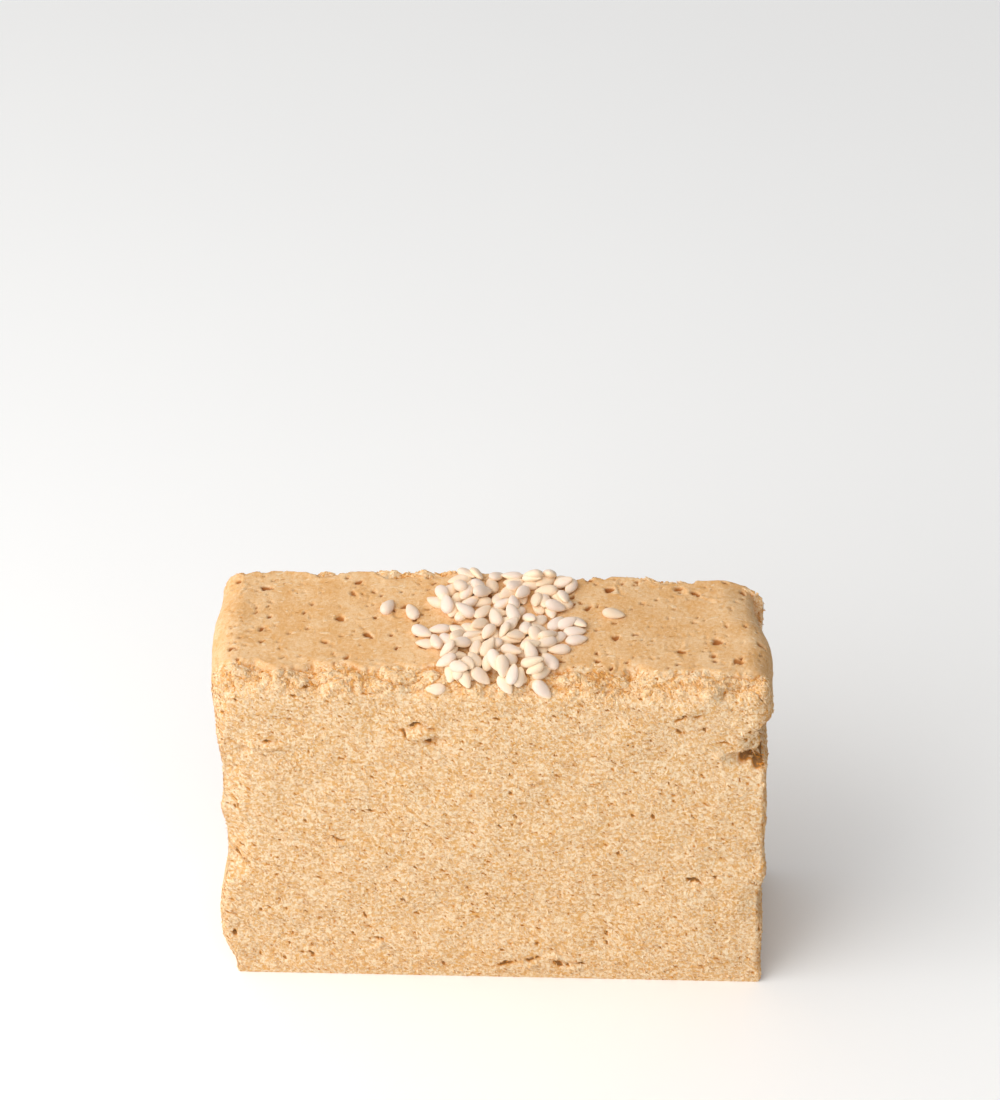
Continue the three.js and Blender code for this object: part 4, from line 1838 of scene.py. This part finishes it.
@dataclass
class Scatter:
    """Small solids of one kind, half sunk in the slice's broken faces."""

    name: str
    solid: Solid
    finish: GrainFinish
    count: int
    length: Range  # in millimetres
    width: float  # as a share of the length
    thickness: float  # as a share of the length
    tilt: float  # how far they lean off the surface
    rim_share: float  # how much denser they stand on the rims
    start: int  # of the random draws
    lift: float = 0.1  # of their middles, as a share of half the thickness
    lowest: float = 0.6  # height over the floor from which they stand
    jitter: float = 0.13  # how far they stray from the slice's vertices
    lean: Pair = (-0.55, 0.7)  # mean and spread of their slant, in radians
    turn: float = 0.3  # how far they point to the front or back
    spread: Range = (0.7, 1.3)  # of their widths and thicknesses
    roughness: float = 0.25  # how far their corners stray
    shade: Pair = (2.2, 1.8)  # weights of the dark and the pale end of their shades
    hollow_shade: float = 0.7  # painted shade: how much darker they are in a hollow
    floor_gap: float = 0.02  # height under which no corner reaches
    map_reach: float = 0.4  # half width of each flat map, as a share of its cell
    map_lift: float = 0.2  # how far height moves a point on it

    def spots(self, ground: Ground, draw: np.random.Generator) -> tuple[Array, Array, Array]:
        """Draws where the solids stand.

        Args:
            ground: the slice.
            draw: the source of random draws.

        Returns:
            Points on its bare faces, the ways that they face and the painted shade of the slice
            under them.
        """
        weight = (1 - ground.skin) * (1 + self.rim_share * ground.rim)
        weight = np.where(ground.points[:, 2] > self.lowest, np.maximum(weight, 0), 0)
        chosen = draw.choice(len(weight), self.count, p=weight / weight.sum())
        facing = ground.facing[chosen]
        jitter = draw.uniform(-self.jitter, self.jitter, (self.count, 3))
        sideways = jitter - (jitter * facing).sum(1, keepdims=True) * facing
        return ground.points[chosen] + sideways, facing, ground.hollow[chosen]

    def stand(self, facing: Array, draw: np.random.Generator) -> tuple[Array, Array, Array]:
        """Draws how the solids stand.

        Args:
            facing: the way the slice faces under each.
            draw: the source of random draws.

        Returns:
            The ways along, across and up of each.
        """
        up = facing + draw.normal(0, self.tilt, facing.shape)
        up /= np.linalg.norm(up, axis=1, keepdims=True)
        lean = draw.normal(*self.lean, self.count)
        along = np.stack([np.cos(lean), self.turn * np.cos(3 * lean), np.sin(lean)], axis=1)
        along -= (along * up).sum(1, keepdims=True) * up
        along /= np.linalg.norm(along, axis=1, keepdims=True)
        return along, np.cross(up, along), up

    def build(self, ground: Ground) -> bpy.types.Object:
        """Makes and dresses the solids.

        Args:
            ground: the slice that they stand on.

        Returns:
            The piece, on its body.
        """
        draw = np.random.default_rng(self.start)
        base, triangles = self.solid.template()
        centre, facing, hollow = self.spots(ground, draw)
        axes = self.stand(facing, draw)
        length = draw.uniform(*self.length, self.count) / 2
        width = length * self.width * draw.uniform(*self.spread, self.count)
        thick = length * self.thickness * draw.uniform(*self.spread, self.count)
        rough = 1 + draw.uniform(-self.roughness, self.roughness, (self.count, len(base), 3))
        shape = base[None] * rough
        points = centre[:, None] + axes[2][:, None] * (thick * self.lift)[:, None, None]
        for n, (axis, half) in enumerate(zip(axes, (length, width, thick))):
            points = points + shape[..., n : n + 1] * (axis * half[:, None])[:, None]
        points[..., 2] = np.maximum(points[..., 2], self.floor_gap)
        first = np.arange(self.count)[:, None, None] * len(base)
        faces = (triangles[None] + first).reshape(-1, 3)
        columns = math.ceil(math.sqrt(self.count))
        cell = np.stack(np.divmod(np.arange(self.count), columns), axis=1)
        flat = base[None, :, :2] + self.map_lift * base[None, :, 2:]
        places = (cell[:, None] + 0.5 + self.map_reach * flat) / columns
        # painted shade: each is darker by the painted shade of the slice under it
        shade = draw.beta(*self.shade, self.count) - self.hollow_shade * hollow
        masks = {Mask.SHADE: np.repeat(shade, len(base))}
        points, places = points.reshape(-1, 3), places.reshape(-1, 2)
        piece = mesh_object(self.name, points, faces.tolist(), masks, places, smooth=False)
        hand_over(piece, self.finish.material())
        return piece


SCATTERS = (
    Scatter(
        name="slivers",
        solid=Solid.SLIVER,
        finish=GrainFinish("slivers"),
        count=48000,
        length=(0.4, 1.0),
        width=0.4,
        thickness=0.2,
        tilt=0.15,
        rim_share=0.5,
        start=11,
    ),
    Scatter(
        name="crumbs",
        solid=Solid.CRUMB,
        finish=GrainFinish("crumbs", pale=(0.86, 0.66, 0.42)),
        count=6000,
        length=(0.3, 0.8),
        width=0.7,
        thickness=0.5,
        tilt=0.4,
        rim_share=12.0,
        start=12,
    ),
)


# ------------------------------------------------------------------ the studio


@dataclass(frozen=True)
class Softbox:
    """A square light that looks at the slice."""

    name: str
    azimuth: float  # degrees from the front towards the right
    elevation: float  # degrees over the floor
    distance: float
    size: float
    watts: float
    colour: Colour = (1.0, 1.0, 1.0)


@dataclass
class Studio:
    """Pale floor, soft lights and the camera."""

    aim: Triple = (0, 0, 29)  # the point that the lights look at
    azimuth: float = 1.73  # where the camera stands, seen from there
    elevation: float = 41.97
    distance: float = 724.3
    axis_azimuth: float = 1.65  # the way that its back faces
    axis_elevation: float = 39.31
    lens: float = 160
    sensor: float = 36
    clip: Range = (0.05, 50)  # metres between which it sees
    floor_half: float = 4000
    sky: Colour = (1.0, 1.0, 1.0)
    sky_left: float = 1.0  # strength of the room's light
    sky_right: float = 0.1
    softboxes: Sequence[Softbox] = (
        Softbox("key", -55, 42, 480, 480, 2.0, (1.0, 0.985, 0.96)),
        Softbox("fill", 10, 50, 1100, 700, 1.5, (0.98, 0.99, 1.0)),
    )
    finish: FloorFinish = field(default_factory=FloorFinish)

    @staticmethod
    def direction(azimuth: float, elevation: float) -> Vector:
        """The way from the slice towards an azimuth and elevation in degrees."""
        a, e = math.radians(azimuth), math.radians(elevation)
        return Vector((math.sin(a) * math.cos(e), -math.cos(a) * math.cos(e), math.sin(e)))

    @staticmethod
    def place(thing: bpy.types.ID, name: str, at: Vector, back: Vector) -> bpy.types.Object:
        """Puts a light or camera in the scene.

        Args:
            thing: the light or camera.
            name: its name.
            at: its place in metres.
            back: the way that its back faces.

        Returns:
            Its object.
        """
        made = bpy.data.objects.new(name, thing)
        made.location = at
        made.rotation_euler = (-back).to_track_quat("-Z", "Y").to_euler()
        bpy.context.collection.objects.link(made)
        return made

    def build_camera(self) -> None:
        """Makes the scene's camera, whose axis passes over the slice."""
        camera = bpy.data.cameras.new("camera")
        camera.lens = self.lens
        camera.sensor_width = self.sensor
        camera.clip_start, camera.clip_end = self.clip
        at = (Vector(self.aim) + self.direction(self.azimuth, self.elevation) * self.distance) * MM
        back = self.direction(self.axis_azimuth, self.axis_elevation)
        bpy.context.scene.camera = self.place(camera, "camera", at, back)

    def build_lights(self) -> None:
        """Makes the softboxes."""
        for box in self.softboxes:
            light = bpy.data.lights.new(box.name, "AREA")
            light.shape = "SQUARE"
            light.size = box.size * MM
            light.energy = box.watts
            light.color = box.colour
            back = self.direction(box.azimuth, box.elevation)
            self.place(light, box.name, (Vector(self.aim) + back * box.distance) * MM, back)

    def build_room(self) -> None:
        """Makes the even light of the room, brighter from the left."""
        room = Canvas(bpy.data.worlds.new("room"), "Background")
        where = room.node("ShaderNodeTexCoord").outputs["Generated"]
        across = room.channel("ShaderNodeSeparateXYZ", {}, {"Vector": where}, "X")
        strength = across.carried((-1.0, 1.0, self.sky_left, self.sky_right))
        bpy.context.scene.world = room.dress(Color=self.sky, Strength=strength)

    def build_floor(self) -> None:
        """Makes the floor that the slice stands on."""
        half = self.floor_half
        outline = np.array([(-half, -half), (half, -half), (half, half), (-half, half)], float)
        floor = mesh_object("floor", np.pad(outline, ((0, 0), (0, 1))), [range(4)], {})
        floor.data.materials.append(self.finish.material())

    def build(self) -> None:
        """Makes the whole studio."""
        self.build_camera()
        self.build_lights()
        self.build_room()
        self.build_floor()
        bpy.context.scene.view_settings.view_transform = "Standard"


# ------------------------------------------------------------------ the whole


def main() -> None:
    """Builds the studio and every piece."""
    logging.basicConfig(level=logging.INFO, format="%(name)s %(message)s")
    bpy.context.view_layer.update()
    Studio().build()
    form = SliceForm()
    sesame = SesameSeeds(form)
    seeds, drops = sesame.strew()
    halva = HalvaSlice(form).build(drops)
    sesame.build(seeds, drops)
    for kind in SCATTERS:
        kind.build(halva)


if __name__ == "__main__":
    main()
